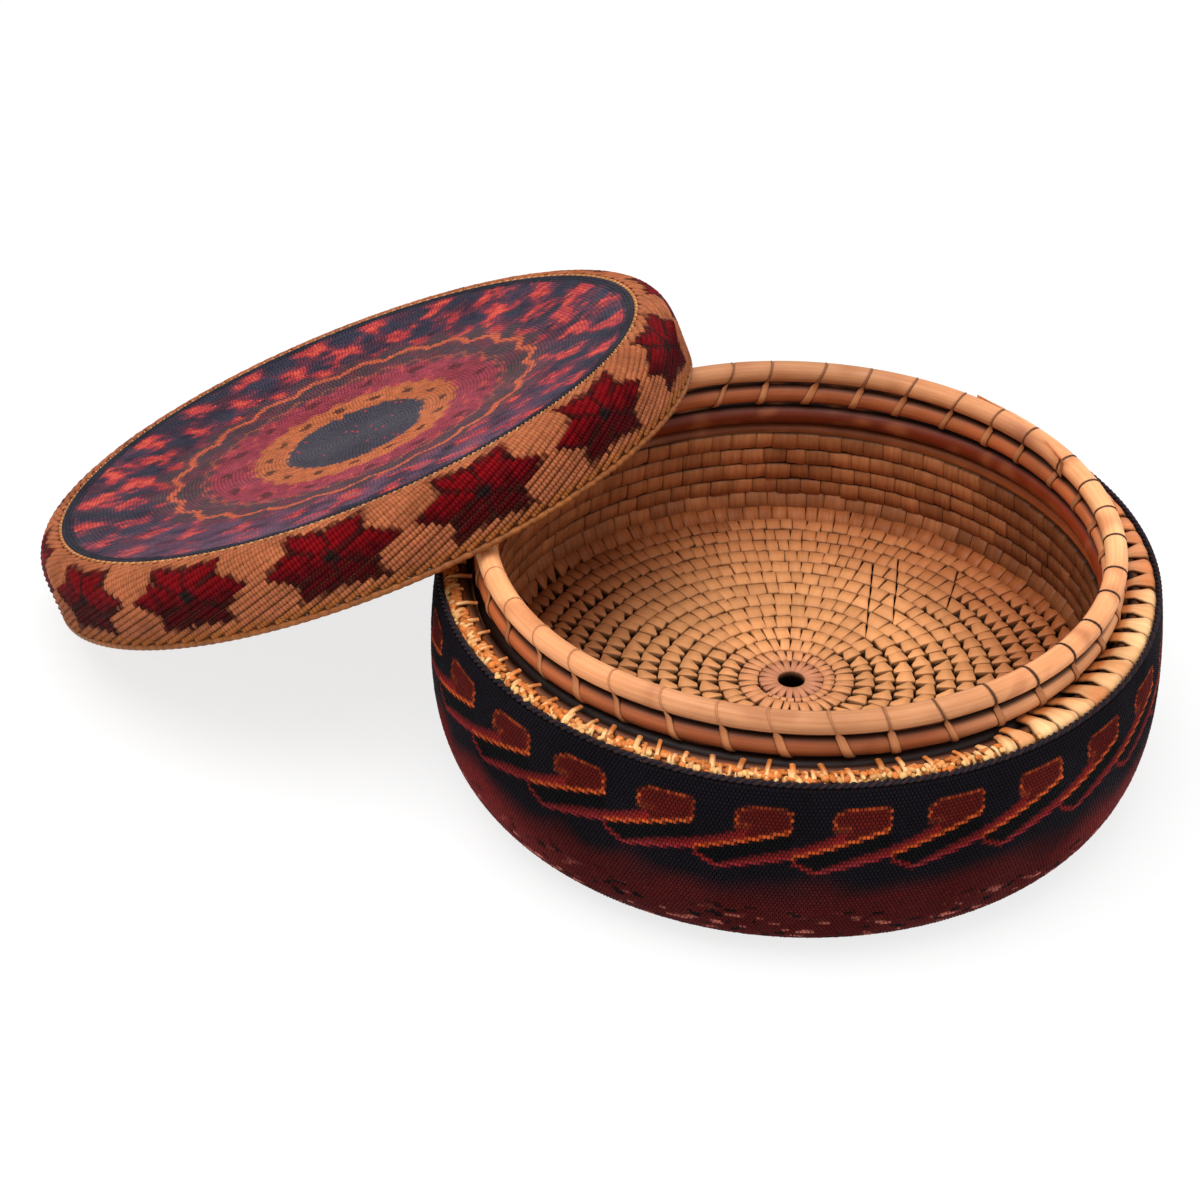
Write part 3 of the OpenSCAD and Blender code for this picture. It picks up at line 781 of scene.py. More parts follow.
def ledge():
    """Two thin hoops, cane stitches that lean over both, and knots of cane along the outer hoop.

    On the right each stitch is one broad strand that widens outwards, with a dark wedge beside it where the
    hoops below, painted with shade, show through. Elsewhere it is a tuft of short stubs between crowded
    knots, some of which lie over the cord along the wall's edge.
    """
    count, sides = LEDGE_GRID
    angle, _ = circle(count)
    section = LEDGE_ROD / 2 * circle(sides)[1][None]
    level = np.full(count, LEDGE_Z)
    spots = np.concatenate([
        hoop(angle, radius + 0.1 * wander(angle, seed), level, section).reshape(-1, 3)
        for radius, seed in ((LEDGE_INNER, 41), (LEDGE_OUTER, 43))
    ])
    quads, row, column = grid_faces(count, sides, True, True)
    uv = np.stack([row * 0.18, column * 0.13], -1)
    tint = LEDGE_BROWN * (1 + 0.35 * patches(spots, 7, 45))[:, None]
    # Painted shade on the inner hoop and the inner side of the outer hoop, under the lower rod
    inside = 1 - fade(LEDGE_INNER - 0.5, LEDGE_OUTER - 1, np.hypot(spots[:, 0], spots[:, 1]))
    tint = paint(tint, inside, LEDGE_DEEP)
    add_piece(
        "ledge_hoops", spots, [repeated(quads, 2, count * sides)], LEDGE_CANE, "box",
        ["ledge_inner_rod", "ledge_outer_rod"], tint, [np.stack([uv, uv + 3.3])],
    )
    rng = np.random.default_rng(47)
    tuft = LEDGE_TUFT
    every = TAU * LEDGE_OUTER / LEDGE_STITCHES
    order = np.arange(LEDGE_STITCHES * tuft)
    angle = TAU * (order // tuft) / LEDGE_STITCHES
    clear = fade(0.25, 0.6, np.cos(angle - LEDGE_CLEAR))
    keep = (order % tuft == 0) | (clear < rng.uniform(0.05, 0.95, LEDGE_STITCHES).repeat(tuft))
    angle = angle[keep]
    main = (order % tuft == 0)[keep]
    clear = np.where(main, clear[keep], 0)
    place = np.where(clear > 0.5, 0, (order[keep] % tuft - 1) * every / tuft)
    strands = len(angle)
    reach = LEDGE_ROD / 2 + 0.15
    outer_end = rng.uniform(-40, 5, strands)
    turn = np.linspace(0, 1, 6)
    outer = np.radians(outer_end[:, None] + (90 - outer_end[:, None]) * turn)
    start = np.array([LEDGE_OUTER, LEDGE_Z + reach])
    inward = np.array([(LEDGE_INNER, LEDGE_Z + reach), *STRAND_FOOT])
    share = np.where(main, rng.uniform(0.3, 0.8, strands), rng.uniform(0.05, 0.25, strands))
    share = np.maximum(clear, share)
    round_hoop = np.stack([LEDGE_OUTER + reach * np.cos(outer), LEDGE_Z + reach * np.sin(outer)], -1)
    lines = np.concatenate([round_hoop, start + share[:, None, None] * (inward - start)], 1)
    lines[..., 1] += rng.uniform(0, 0.3, (strands, 1)) * (lines[..., 0] > 97)
    place = place + rng.uniform(-0.9, 0.9, strands) * (1 - 0.7 * clear)
    go = (lines[..., 0] - LEDGE_INNER) / (LEDGE_OUTER - LEDGE_INNER)
    lean = rng.uniform(-0.2, 1.4, strands) * (1 - clear) + rng.uniform(-0.3, 1.5, strands) * clear
    slant = place[:, None] - lean[:, None] * (go - 0.5)
    narrow = rng.uniform(1.2, 2.0, strands)[:, None]
    broad = rng.uniform(3.3, 5.0, strands)[:, None] + (every - 3.9) * fade(-0.2, 0.95, go)
    width = narrow + (broad - narrow) * clear[:, None]
    bright = rng.uniform(-0.7, 0.3, (strands, 1)) + 0.5 * main[:, None] + 0.3 * clear[:, None]
    colour = STRAND * rng.uniform(0.75, 1.1, (strands, 1, 1)) + np.zeros((*go.shape, 1))
    colour = paint(colour, fade(0.3, 1.5, go + bright), STRAND_TIP)
    colour = paint(colour, 0.9 * clear[:, None] * fade(-0.4, 0.3, go), STRAND_PALE)
    orange = clear * fade(0.35, 1.0, rng.uniform(0, 1, strands))
    colour = paint(colour, 0.75 * orange[:, None] * fade(-0.2, 1.2, go + 0.3), STRAND_ORANGE)
    far = clear * fade(-0.25, 0.3, np.sin(angle)) * rng.uniform(0.5, 0.9, strands)
    colour = paint(colour, far[:, None], STRAND_FAR)
    # Painted shade on the strands' inner ends, under the lower rod
    colour = paint(colour, 1 - fade(-1.4, -0.6, go), STRAND_INNER)
    points, faces, tint, places = strips(lines, width, 0.75, angle, slant, colour, False, 0.6)
    add_piece(
        "ledge_whipping", points, faces, LEDGE_CANE, "box", ["ledge_stitches"], tint, places
    )
    spin = TAU * (np.arange(LEDGE_KNOTS) + rng.uniform(-0.4, 0.4, LEDGE_KNOTS)) / LEDGE_KNOTS
    spin = spin[rng.uniform(0, 1, LEDGE_KNOTS) > fade(0.25, 0.6, np.cos(spin - LEDGE_CLEAR))]
    count = len(spin)
    nub = (rng.uniform(0, 1, count) < 0.2) & (np.cos(spin - LID_AZIMUTH) < 0.5)
    lift = np.radians(np.where(nub, rng.uniform(38, 58, count), rng.uniform(5, 140, count)))[:, None]
    out, along = compass(spin)
    outward = np.cos(lift) * out + np.sin(lift) * UP
    reach = np.where(nub, rng.uniform(3.0, 4.0, count), LEDGE_ROD / 2 + 0.4)
    spots = LEDGE_OUTER * out + LEDGE_Z * UP + reach[:, None] * outward
    along = unit(along + rng.normal(0, 0.7, (count, 1)) * np.cross(outward, along))
    size = rng.uniform((2.1, 1.5, 1.2), (4.2, 2.8, 2.2), (count, 3)) * np.where(nub, 0.7, 1)[:, None]
    colour = KNOT_CANE * rng.uniform(0.6, 1.1, (count, 1))
    pale = fade(0.6, 1.15, rng.uniform(0, 1, count) + 0.25 * np.cos(lift[:, 0]) + 0.15 * nub)
    colour = paint(colour, pale, KNOT_PALE)
    points = set_out(KNOT_POINTS, spots, along, outward, size)
    step = len(KNOT_POINTS)
    faces = [repeated(KNOT_QUADS, count, step), repeated(KNOT_ENDS, count, step)]
    shade = 0.35 + 0.65 * fade(-0.1, 0.3, KNOT_POINTS[:, 2])
    tint = (colour[:, None] * shade[None, :, None]).reshape(-1, 3)
    add_piece(
        "ledge_knots", points.reshape(-1, 3), faces, LEDGE_CANE, "box", ["ledge_stitches"],
        tint, grain_places(KNOT_POINTS, (KNOT_QUADS, KNOT_ENDS), count),
    )


ledge()


# Inner basket

def basket_spot(run):
    """Spot and slope on the basket's profile, by distance from the eye: floor, corner, leaning wall."""
    floor_run = CORNER_CENTRE - FLOOR_START
    corner_run = CORNER_RADIUS * WALL_TURN
    turn = np.clip((run - floor_run) / CORNER_RADIUS, 0, WALL_TURN)
    up = np.clip(run - floor_run - corner_run, 0, None)
    level = FLOOR_START + np.minimum(run, floor_run)
    radius = level + CORNER_RADIUS * np.sin(turn) + up * math.cos(WALL_TURN)
    height = FLOOR_Z + CORNER_RADIUS * (1 - np.cos(turn)) + up * math.sin(WALL_TURN)
    return radius, height, turn


def coil_spot(turns):
    """Centre of the cane after a number of turns, its directions along, across and up, its radius and slope.

    The row starts as a thin wedge beside the eye and reaches its full width in its first turn.
    """
    full = COIL_PITCH * turns + EYE_EASE
    least = EYE_OUTER - FLOOR_START + COIL_PITCH / 2
    run = np.where(full > least, full, (full + least) / 2)
    radius, height, slope = basket_spot(run)
    angle = TAU * turns
    out, along = compass(angle)
    spot = radius[:, None] * out + height[:, None] * UP
    across = np.cos(slope)[:, None] * out + np.sin(slope)[:, None] * UP
    up = -np.sin(slope)[:, None] * out + np.cos(slope)[:, None] * UP
    return spot, along, across, up, radius, slope


COIL_TURNS = (COIL_RUN - EYE_EASE) / COIL_PITCH
# Section of a wrap of cane: a flat top with bevelled edges, and the painted shade at each of its points,
# darkest at the sides where wraps meet
WRAP_SIDE = np.array([[-0.45, 0.485], [-0.5, 0.4], [-0.5, 0.1], [-0.3, -0.5]])
WRAP_RING = np.concatenate([[[0, 0.5]], WRAP_SIDE, WRAP_SIDE[::-1] * (-1, 1)])
JOINT_SHADE = 0.04
WRAP_SHADE = np.array([1.0, 0.92, 0.36, *[JOINT_SHADE] * 4, 0.36, 0.92])
WRAP_STATIONS = (-0.497, -0.455, 0.0, 0.455, 0.497)
WRAP_POINTS, WRAP_QUADS, WRAP_ENDS = barrel(WRAP_RING, WRAP_STATIONS, (0.9, 1.0, 1.0, 1.0, 0.9), 0.5)
# Length of the wraps by turns of the coil
WRAP_PACE = ((-0.4, 0.6, 1.6, 3.0, 6.0, 11.0, 13.0, 14.5), (2.2, 2.9, 3.7, 4.5, 4.8, 4.0, 4.6, 7.2))
FLOOR_TINT = srgb(238, 168, 110)
FLOOR_EYE = srgb(220, 148, 112)
# Painted shade near the wall, and the lid's painted shadow
FLOOR_EDGE_SHADE = srgb(172, 98, 56)
FLOOR_SHADY = srgb(132, 74, 44)
WALL_BROWN = srgb(178, 114, 72)
WALL_DULL = srgb(92, 48, 24)
CORNER_SHADE = srgb(158, 84, 38)
COIL_CORE_SHADE = srgb(30, 17, 10)
# Binding of the eye: wraps, their radius, size and colour
EYE_WRAPS = 22
EYE_RADIUS = 7.0
EYE_SIZE = (1.9, 5.9, 5.2)
EYE_TINT = srgb(208, 140, 104)
CORE_THICK = 1.6
# Long seams in the floor where the wraps of all rows end in line: x and y at the start, y at the end, slope
SEAMS = ((24.2, 24.0, 64.0, 0.11), (32.6, 26.0, 66.0, 0.11), (50.5, 38.0, 60.0, 0.25))


def wraps(
    name, spot, along, up, size, taper, skew, tint, shade_ends, finish, body, node_name, last=False,
    cuts=None,
):
    """A piece of pillow-shaped wraps of split cane, with painted shade on their sides and in their joints.

    One end is narrowed by taper and moved across by skew: the last where last says so, or else the first.
    shade_ends adds painted shade at the joints. cuts slants the first and last end, in millimetres along for
    each one across.
    """
    local = np.repeat(WRAP_POINTS[None], len(spot), 0)
    last = np.broadcast_to(last, len(spot))[:, None]
    local[..., 0] += np.where(np.abs(WRAP_POINTS[:, 0]) < 0.1, 0.2, 0.0) * np.where(last, -1, 1)
    at = 2 * local[..., 0]
    lead = np.clip(-at, 0, 1)
    tail = np.clip(at, 0, 1)
    thin = np.where(last, tail, lead) > 0.5
    local[..., 1] = local[..., 1] * (1 - taper[:, None] * thin) + skew[:, None] * thin
    if cuts is not None:
        slant = (lead * cuts[:, 0:1] + tail * cuts[:, 1:2]) * (size[:, 1] / size[:, 0])[:, None]
        local[..., 0] = local[..., 0] + slant * local[..., 1]
    points = set_out(local, spot, along, up, size)
    step = len(WRAP_POINTS)
    faces = [repeated(WRAP_QUADS, len(spot), step), repeated(WRAP_ENDS, len(spot), step)]
    at_end = np.abs(WRAP_POINTS[:, 0]) > 0.46
    edge = np.r_[np.tile(WRAP_SHADE, len(WRAP_STATIONS)), JOINT_SHADE, JOINT_SHADE]
    edge = edge * (1 - np.multiply.outer(shade_ends, at_end))
    colours = tint[:, None] * edge[..., None]
    places = grain_places(WRAP_POINTS, (WRAP_QUADS, WRAP_ENDS), len(spot))
    add_piece(
        name, points.reshape(-1, 3), faces, finish, body, [node_name], colours.reshape(-1, 3), places
    )


def inner_basket():
    """The coil: a core, coloured near black as painted shade in the gaps, wrapped all along by split cane,
    one pillow to a stitch, and a bound eye.
    """
    dense = np.arange(-0.38, COIL_TURNS, 1 / 720)
    spot, _, _, _, radius, _ = coil_spot(dense)
    run = np.r_[0, np.cumsum(np.linalg.norm(np.diff(spot, axis=0), axis=1))]
    rng = np.random.default_rng(61)
    pace = np.interp(dense, *WRAP_PACE)
    count_at = np.r_[0, np.cumsum(np.diff(run) / pace[1:])]
    total = int(count_at[-1])
    steps = np.arange(total) + np.r_[0, rng.uniform(-0.16, 0.16, total - 1)]
    ends = np.interp(steps, count_at, dense)
    seam = np.zeros(total)
    cut = np.zeros(total)
    out, round_ = compass(TAU * dense)
    for x, low, high, lean in SEAMS:
        side = spot[:, 0] - x - lean * (spot[:, 1] - low)
        crossed = np.flatnonzero((side[:-1] * side[1:] < 0) & (spot[:-1, 1] > low) & (spot[:-1, 1] < high))
        nearest = np.abs(ends[None] - dense[crossed][:, None]).argmin(1)
        ends[nearest] = dense[crossed]
        seam[nearest] = 1
        way = np.array([lean, 1.0, 0.0])
        cut[nearest] = -(round_[crossed] @ way) / (out[crossed] @ way)
    middle = (ends[1:] + ends[:-1]) / 2
    reach = np.interp(ends, dense, run)
    place, along, across, up, radius, slope = coil_spot(middle)
    angle = TAU * middle
    count = total - 1
    on_wall = fade(0.5, 1.2, slope)
    beside = np.maximum(seam[1:], seam[:-1])
    gap = 0.04 + 0.45 * beside + rng.uniform(0, 0.14, count)
    gap = gap + 0.45 * band(radius, 11, 27, 3) * rng.uniform(0, 1, count)
    long = np.diff(reach) - gap
    wide = np.where(slope > 0.1, 6.1, 6.2) * rng.uniform(0.97, 1.0, count)
    wide = wide - 0.5 * band(slope, 0.05, 0.6, 0.1) * fade(0.0, 0.6, np.sin(angle))
    wide = np.minimum(wide, COIL_PITCH * middle + EYE_EASE + FLOOR_START + COIL_PITCH / 2 - EYE_OUTER + 0.3)
    ending = 0.12 + 0.88 * fade(0.0, 0.25, COIL_TURNS - middle)
    place = place - across * (wide * (1 - ending) / 2)[:, None]
    wide = wide * ending
    size = np.stack([long, wide, 5.5 * rng.uniform(0.94, 1.03, count)], -1)
    open_side = 1 - fade(0.25, 0.8, np.sin(angle) + 0.25 * patches(place, 35, 62))
    taper = (0.03 + 0.74 * open_side * fade(12, 24, radius)) * (1 - on_wall) + 0.04 * on_wall
    taper = taper * rng.uniform(0.4, 1.4, count) + rng.uniform(-0.1, 0.1, count)
    taper = np.clip(taper, 0, 0.84) * (1 - beside)
    skew = -0.5 * taper * rng.uniform(0.3, 1.0, count)
    turned = rng.normal(0, 0.05, (count, 1)) * ((1 - 0.6 * on_wall) * (1 - beside))[:, None]
    along = unit(along + turned * across)
    place = place + rng.normal(0, 0.12, (count, 1)) * up
    tint = FLOOR_TINT * rng.uniform(0.86, 1.05, (count, 1))
    tint = tint * (1 + 0.12 * patches(place, 45, 63))[:, None]
    tint = paint(tint, 0.6 * (1 - fade(8, 22, radius)), FLOOR_EYE)
    # Painted shade on the outer floor, most at the left and right, and the lid's painted shadow on the left
    outer = fade(44, 84, radius) * (1 - on_wall) * (0.62 + 0.3 * np.abs(np.cos(angle)))
    tint = paint(tint, outer, FLOOR_EDGE_SHADE)
    tint = paint(tint, 0.45 * fade(0.2, 0.9, -np.cos(angle)) * fade(30, 70, radius), FLOOR_SHADY)
    brown = WALL_BROWN * rng.uniform(0.75, 1.1, (count, 1))
    tint = paint(tint, on_wall, brown)
    dull = on_wall * fade(0.6, 0.95, np.cos(angle - math.radians(8)) + 0.15 * patches(place, 20, 64))
    tint = paint(tint, 0.6 * dull, WALL_DULL)
    # Painted shade in the rows where the floor turns up into the wall
    tint = paint(tint, 0.55 * band(slope, 0.1, 1.0, 0.2), CORNER_SHADE)
    shade = 0.45 - 0.3 * fade(34, 44, place[:, 2])
    cuts = np.stack([cut[:-1], cut[1:]], -1)
    for name, mine, node_name, slot, finish in (
        ("floor_wraps", slope <= 0, "floor_coil", "cane_floor", FLOOR_CANE),
        ("wall_wraps", slope > 0, "wall_coil", "cane_inside", INSIDE_CANE),
    ):
        wraps(
            name, place[mine], along[mine], up[mine], size[mine], taper[mine], skew[mine], tint[mine],
            shade[mine], finish, "box", node_name, np.cos(angle[mine]) > 0, cuts[mine],
        )
    eye = EYE_WRAPS
    angle = TAU * np.arange(eye) / eye + rng.uniform(-0.03, 0.03, eye)
    out, along = compass(angle)
    spots = EYE_RADIUS * out + FLOOR_Z * UP
    size = plain(np.array(EYE_SIZE), eye)
    tint = EYE_TINT * rng.uniform(0.88, 1.08, (eye, 1))
    none = np.zeros(eye)
    wraps(
        "eye_binding", spots, along, plain(UP, eye), size, none, none, tint, none + 0.3, FLOOR_CANE, "box",
        "floor_coil",
    )
    turns = np.arange(0.5, COIL_TURNS - 0.25, 1 / 36)
    spot, _, across, up, _, _ = coil_spot(turns)
    sides = 6
    section = CORE_THICK * circle(sides)[1]
    tube = spot[:, None] + section[:, 0:1] * across[:, None] + section[:, 1:2] * up[:, None]
    quads, row, column = grid_faces(len(turns), sides, False, True)
    caps = np.stack([np.arange(sides)[::-1], (len(turns) - 1) * sides + np.arange(sides)])
    spots = tube.reshape(-1, 3)
    # The core in near black, as painted shade where it shows between the wraps
    add_piece(
        "coil_core", spots, [quads, caps], INSIDE_CANE, "box", ["floor_coil", "wall_coil"],
        plain(COIL_CORE_SHADE, len(spots)), [np.stack([row * 1.6, column * 0.3], -1), np.zeros((2, sides, 2))],
    )
    end, _, _, _, radius, _ = coil_spot(np.array([COIL_TURNS]))
    cane_hoop(
        "coil_end_packing", radius[0] + 1.0, end[0, 2] - 0.4, 5.2, 67, ["wall_coil"],
        colour=COIL_END_CANE, grid=PACKING_GRID,
    )


inner_basket()


# Beadwork

BEAD_POINTS, BEAD_QUADS, BEAD_ENDS = barrel(round_ring(5), (-0.3, 0.3), (1.0, 1.0), 0.48)


def bead_field(name, centres, along, outward, size, tint, finish, slot, stands_for, body, seed):
    """Seed beads threaded along their strings: barrels with small differences in size, lean and height."""
    rng = np.random.default_rng(seed)
    count = len(centres)
    across = np.cross(outward, along)
    lean = rng.normal(0, 0.05, (count, 1))
    along = unit(along + lean * across)
    centres = centres + rng.normal(0, 0.03, (count, 1)) * outward
    size = size * rng.uniform(0.94, 1.03, (count, 3))
    points = set_out(BEAD_POINTS, centres, along, outward, size)
    step = len(BEAD_POINTS)
    faces = [repeated(BEAD_QUADS, count, step), repeated(BEAD_ENDS, count, step)]
    tint = tint * rng.uniform(0.86, 1.1, (count, 1)) * rng.uniform(0.97, 1.03, (count, 3))
    return add_piece(
        name, points.reshape(-1, 3), faces, finish, body, stands_for, np.repeat(tint, step, 0)
    )


NAVY = srgb(16, 12, 19)
HOLLOW = srgb(7, 6, 9)
HOOK_RED = srgb(82, 18, 14)
HOOK_TAIL = srgb(122, 28, 26)
HOOK_EDGE = srgb(196, 86, 36)
FAR_EDGE = srgb(132, 38, 44)
MAROON = srgb(80, 18, 18)
SPECK = srgb(196, 112, 96)
FOOT_DARK = srgb(10, 6, 7)
HOOKS = 25
HOOK_TIP = math.radians(281.7)
# Corners of a hook: hooks to the left of its tip, and millimetres below the wall's edge
TAIL_UPPER = (
    (0.45, 0.58, 0.73, 0.89, 1.05, 1.2, 1.36, 1.52, 1.77),
    (12.8, 14.4, 16.4, 18.2, 19.6, 20.8, 22.1, 23.8, 26.9),
)
TAIL_LOWER = ((0.0, 1.02, 1.77), (14.0, 23.0, 28.2))
TAIL_END = 1.77
CLOSING = (0.3, 4.4)
HEAD_SIDE = 0.47
BEAK_SIDE = 0.6
BEAK_LOW = 13.2
HOOK_LINE = 0.9


def hook_tints(angle, down, rng):
    """Colours of the wall's beads: a row of hooks with long slanting tails on navy.

    A hook's place is counted in hooks to the left of its lower right tip, and down in millimetres below the
    wall's edge. Its head is a block with an arched top and a beak on its left. Its tail slants down to the
    left under two neighbours, ends in a point and turns back to the line above, with a black wedge inside.
    Every edge is soft by about half a bead.
    """
    count = len(angle)
    width = TAU * WALL_CURVE[0][0] / HOOKS
    soft = 0.45
    turn = (HOOK_TIP - angle) / TAU * HOOKS
    each = np.floor(turn).astype(int) % HOOKS
    near = turn % 1
    far = near + 1
    side = HEAD_SIDE + rng.uniform(-0.02, 0.02, HOOKS)[each]
    beak_side = BEAK_SIDE + rng.uniform(-0.03, 0.04, HOOKS)[each]
    top = 5.9 + rng.uniform(-0.3, 0.4, HOOKS)[each] + 1.5 * np.abs((near - 0.28) / 0.3) ** 4
    low = np.interp(near, *TAIL_LOWER)
    upper = np.interp(near, *TAIL_UPPER)
    far_low = np.interp(far, *TAIL_LOWER)
    far_upper = np.interp(far, *TAIL_UPPER)
    close = TAIL_LOWER[1][-1] - 0.7 - (far - TAIL_END) / CLOSING[0] * CLOSING[1]
    within = 1 - fade(-soft, soft, (near - side) * width)
    head = within * band(down, top, low, soft)
    beak = band(near * width, side * width - 1, beak_side * width, soft) * band(down, top, BEAK_LOW, soft)
    tail = (near >= side) * band(down, upper, low, soft)
    far_tail = (far < TAIL_END) * band(down, far_upper, far_low, soft)
    closing = (far >= TAIL_END - 0.04) * band(down, close - 0.8, close + 0.8, soft)
    wedge = band(down, low, np.where(far < TAIL_END, far_upper, close), soft)
    tint = plain(NAVY, count)
    tint = paint(tint, wedge, HOLLOW)
    tint = paint(tint, far_tail * (0.45 + 0.55 * fade(0, 2.4, down - far_upper)), HOOK_TAIL * 0.85)
    tint = paint(tint, closing * 0.8, HOOK_TAIL)
    tint = paint(tint, far_tail * band(down, far_low - 1.3, far_low, soft) * 0.7, FAR_EDGE)
    tint = paint(tint, tail * (0.45 + 0.55 * fade(0, 2.4, down - upper)), HOOK_TAIL)
    tint = paint(tint, np.maximum(head, beak), HOOK_RED)
    thin, thick = HOOK_LINE - soft, HOOK_LINE + soft
    edge = head * np.maximum(1 - fade(thin, thick, down - top), 1 - fade(thin, thick, near * width))
    left = np.minimum((beak_side - near) * width, BEAK_LOW - down)
    edge = np.maximum(edge, beak * (1 - fade(thin, thick, np.minimum(left, down - top))))
    tint = paint(tint, edge * rng.uniform(0.1, 0.85, count) * (1 - 0.4 * (down - top < 1.5)), HOOK_EDGE)
    rim = np.maximum(head, tail) * band(down, low - 1.25, low, soft)
    tint = paint(tint, rim * (1 - 0.35 * near), HOOK_EDGE)
    return tint


def wall_line():
    """Outline of the beaded wall from its top edge down to the table."""
    return np.concatenate([bend(*FOOT_CURVE), bend(*WALL_CURVE)[1:]])[::-1]


def wall_beads():
    """Level strings of beads round the wall, each half a bead on from the one above."""
    line = wall_line()
    length = line_length(line)
    rows = 60
    per_row = 24 * HOOKS
    pitch = length / rows
    down = (np.arange(rows) + 0.5) * pitch
    spot, way = walk(line, down)
    out_way = np.stack([-way[:, 1], way[:, 0]], -1)
    angle = TAU * (np.arange(per_row)[None] + 0.5 * (np.arange(rows) % 2)[:, None]) / per_row
    out, along = compass(angle)
    tall = WALL_BEAD
    centre = spot - out_way * tall / 2
    centres = centre[:, None, 0:1] * out + centre[:, None, 1:2] * UP
    outward = out_way[:, None, 0:1] * out + out_way[:, None, 1:2] * UP
    long = TAU * spot[:, 0] / per_row
    size = np.stack([long * 1.12, np.full(rows, pitch * 1.3), np.full(rows, tall)], -1)
    size = np.repeat(size[:, None], per_row, 1)
    rng = np.random.default_rng(71)
    below = np.repeat(down, per_row)
    flat = angle.ravel() % TAU
    tint = hook_tints(flat, below, rng)
    spots = centres.reshape(-1, 3)
    foot = fade(29, 42, below + 3.5 * patches(spots, 26, 73))
    ends = fade(0.55, 0.95, np.abs(np.cos(flat)))
    tint = paint(tint, foot * 0.95, MAROON * (1 + 0.7 * ends)[:, None])
    low = fade(37, 46, below + 2 * patches(spots, 20, 78))
    cluster = patches(spots * (1, 1, 2.2), 12, 75) + 0.7 * patches(spots * (1, 1, 1.6), 4, 76)
    tint = paint(tint, fade(0.55, 1.15, cluster) * fade(42, 50, below) * 0.85, SPECK)
    slash = patches(spots * (1, 1, 2.0), 9, 79) + 0.4 * patches(spots, 3, 80)
    tint = paint(tint, fade(0.55, 0.8, slash) * low * 0.95, FOOT_DARK)
    tint = tint * (1 + 0.14 * patches(spots, 60, 77))[:, None]
    pieces = (
        ("wall_beads_upper", 0, 12, WALL_GLASS, "wall_beads", ["wall_beadwork"]),
        ("wall_beads_hooks", 12, 24, WALL_GLASS, "wall_beads", ["wall_beadwork"]),
        ("wall_beads_middle", 24, 36, WALL_GLASS, "wall_beads", ["wall_beadwork"]),
        ("wall_beads_lower", 36, 47, WALL_GLASS, "wall_beads", ["wall_beadwork"]),
        ("foot_beads", 47, 60, FOOT_GLASS, "foot_beads", ["foot_beadwork"]),
    )
    grids = (centres, along, outward, size, tint.reshape(rows, per_row, 3))
    for seed, (name, first, last, finish, slot, nodes) in enumerate(pieces, 80):
        mine = (grid[first:last].reshape(-1, 3) for grid in grids)
        bead_field(name, *mine, finish, slot, nodes, "box", seed)


wall_beads()


def lid_side_line():
    """Outline of the lid's beaded side from its lower edge over the shoulder to the border cord."""
    over = bend((LID_RADIUS, LID_SHOULDER_Z), (LID_RADIUS, LID_TOP), (BORDER_OUTER, LID_TOP))
    return np.concatenate([[[LID_RADIUS, LID_SKIN_Z]], over])


TAN = srgb(165, 95, 61)
TAN_LOW = srgb(156, 91, 60)
STAR_RED = srgb(110, 4, 12)
STAR_DEEP = srgb(66, 3, 9)
STAR_EDGE = srgb(40, 12, 10)
STAR_HEART = srgb(24, 18, 18)
HEM_TAN = srgb(138, 80, 36)
STARS = 14
STAR_FIRST = math.radians(221.5) - LID_AZIMUTH
STAR_HALF = 22.3
STAR_TALL = 10.8
STAR_MIDDLE = 14.3


def star_tints(angle, height, points, rng):
    """Colours of the lid's side, by angle and height: six-pointed stars with six petals on tan."""
    count = len(angle)
    cell = ((angle - STAR_FIRST) / TAU * STARS + 0.5) % 1 - 0.5
    x = cell / STARS * TAU * LID_RADIUS / STAR_HALF
    y = (height - STAR_MIDDLE) / STAR_TALL
    wide = np.abs(x)
    tall = np.abs(y)
    block = np.minimum(0.50 + 0.10 * tall - wide, (0.84 + 0.28 * wide - tall) * 0.5)
    arms = np.minimum(1.0 - wide - 0.95 * tall, 0.46 - tall)
    inside = np.maximum(block, arms) + 0.03 * patches(points, 4, 94) + 0.02 * patches(points, 2, 95)
    tint = plain(TAN, count)
    tint = paint(tint, 1 - fade(6, 16, height), TAN_LOW)
    tint = tint * (1 + 0.16 * patches(points, 14, 91))[:, None]
    turn = np.arctan2(y * 0.9, x * 1.5)
    petal = np.abs(((turn / TAU * 6 + 0.5) % 1) - 0.5)
    reach = np.hypot(x * 1.5, y * 0.9)
    bright = fade(-0.35, 0.4, y + 0.25 * patches(points, 7, 93))
    red = paint(plain(STAR_DEEP, count), bright, STAR_RED)
    red = paint(red, fade(0.34, 0.46, petal) * 0.8, STAR_EDGE)
    red = paint(red, 1 - fade(0.08, 0.26, reach), STAR_HEART)
    tint = paint(tint, fade(-0.025, 0.025, inside), red)
    tint = paint(tint, band(inside, -0.03, 0.08, 0.03) * rng.uniform(0.4, 0.95, count), STAR_EDGE)
    return tint


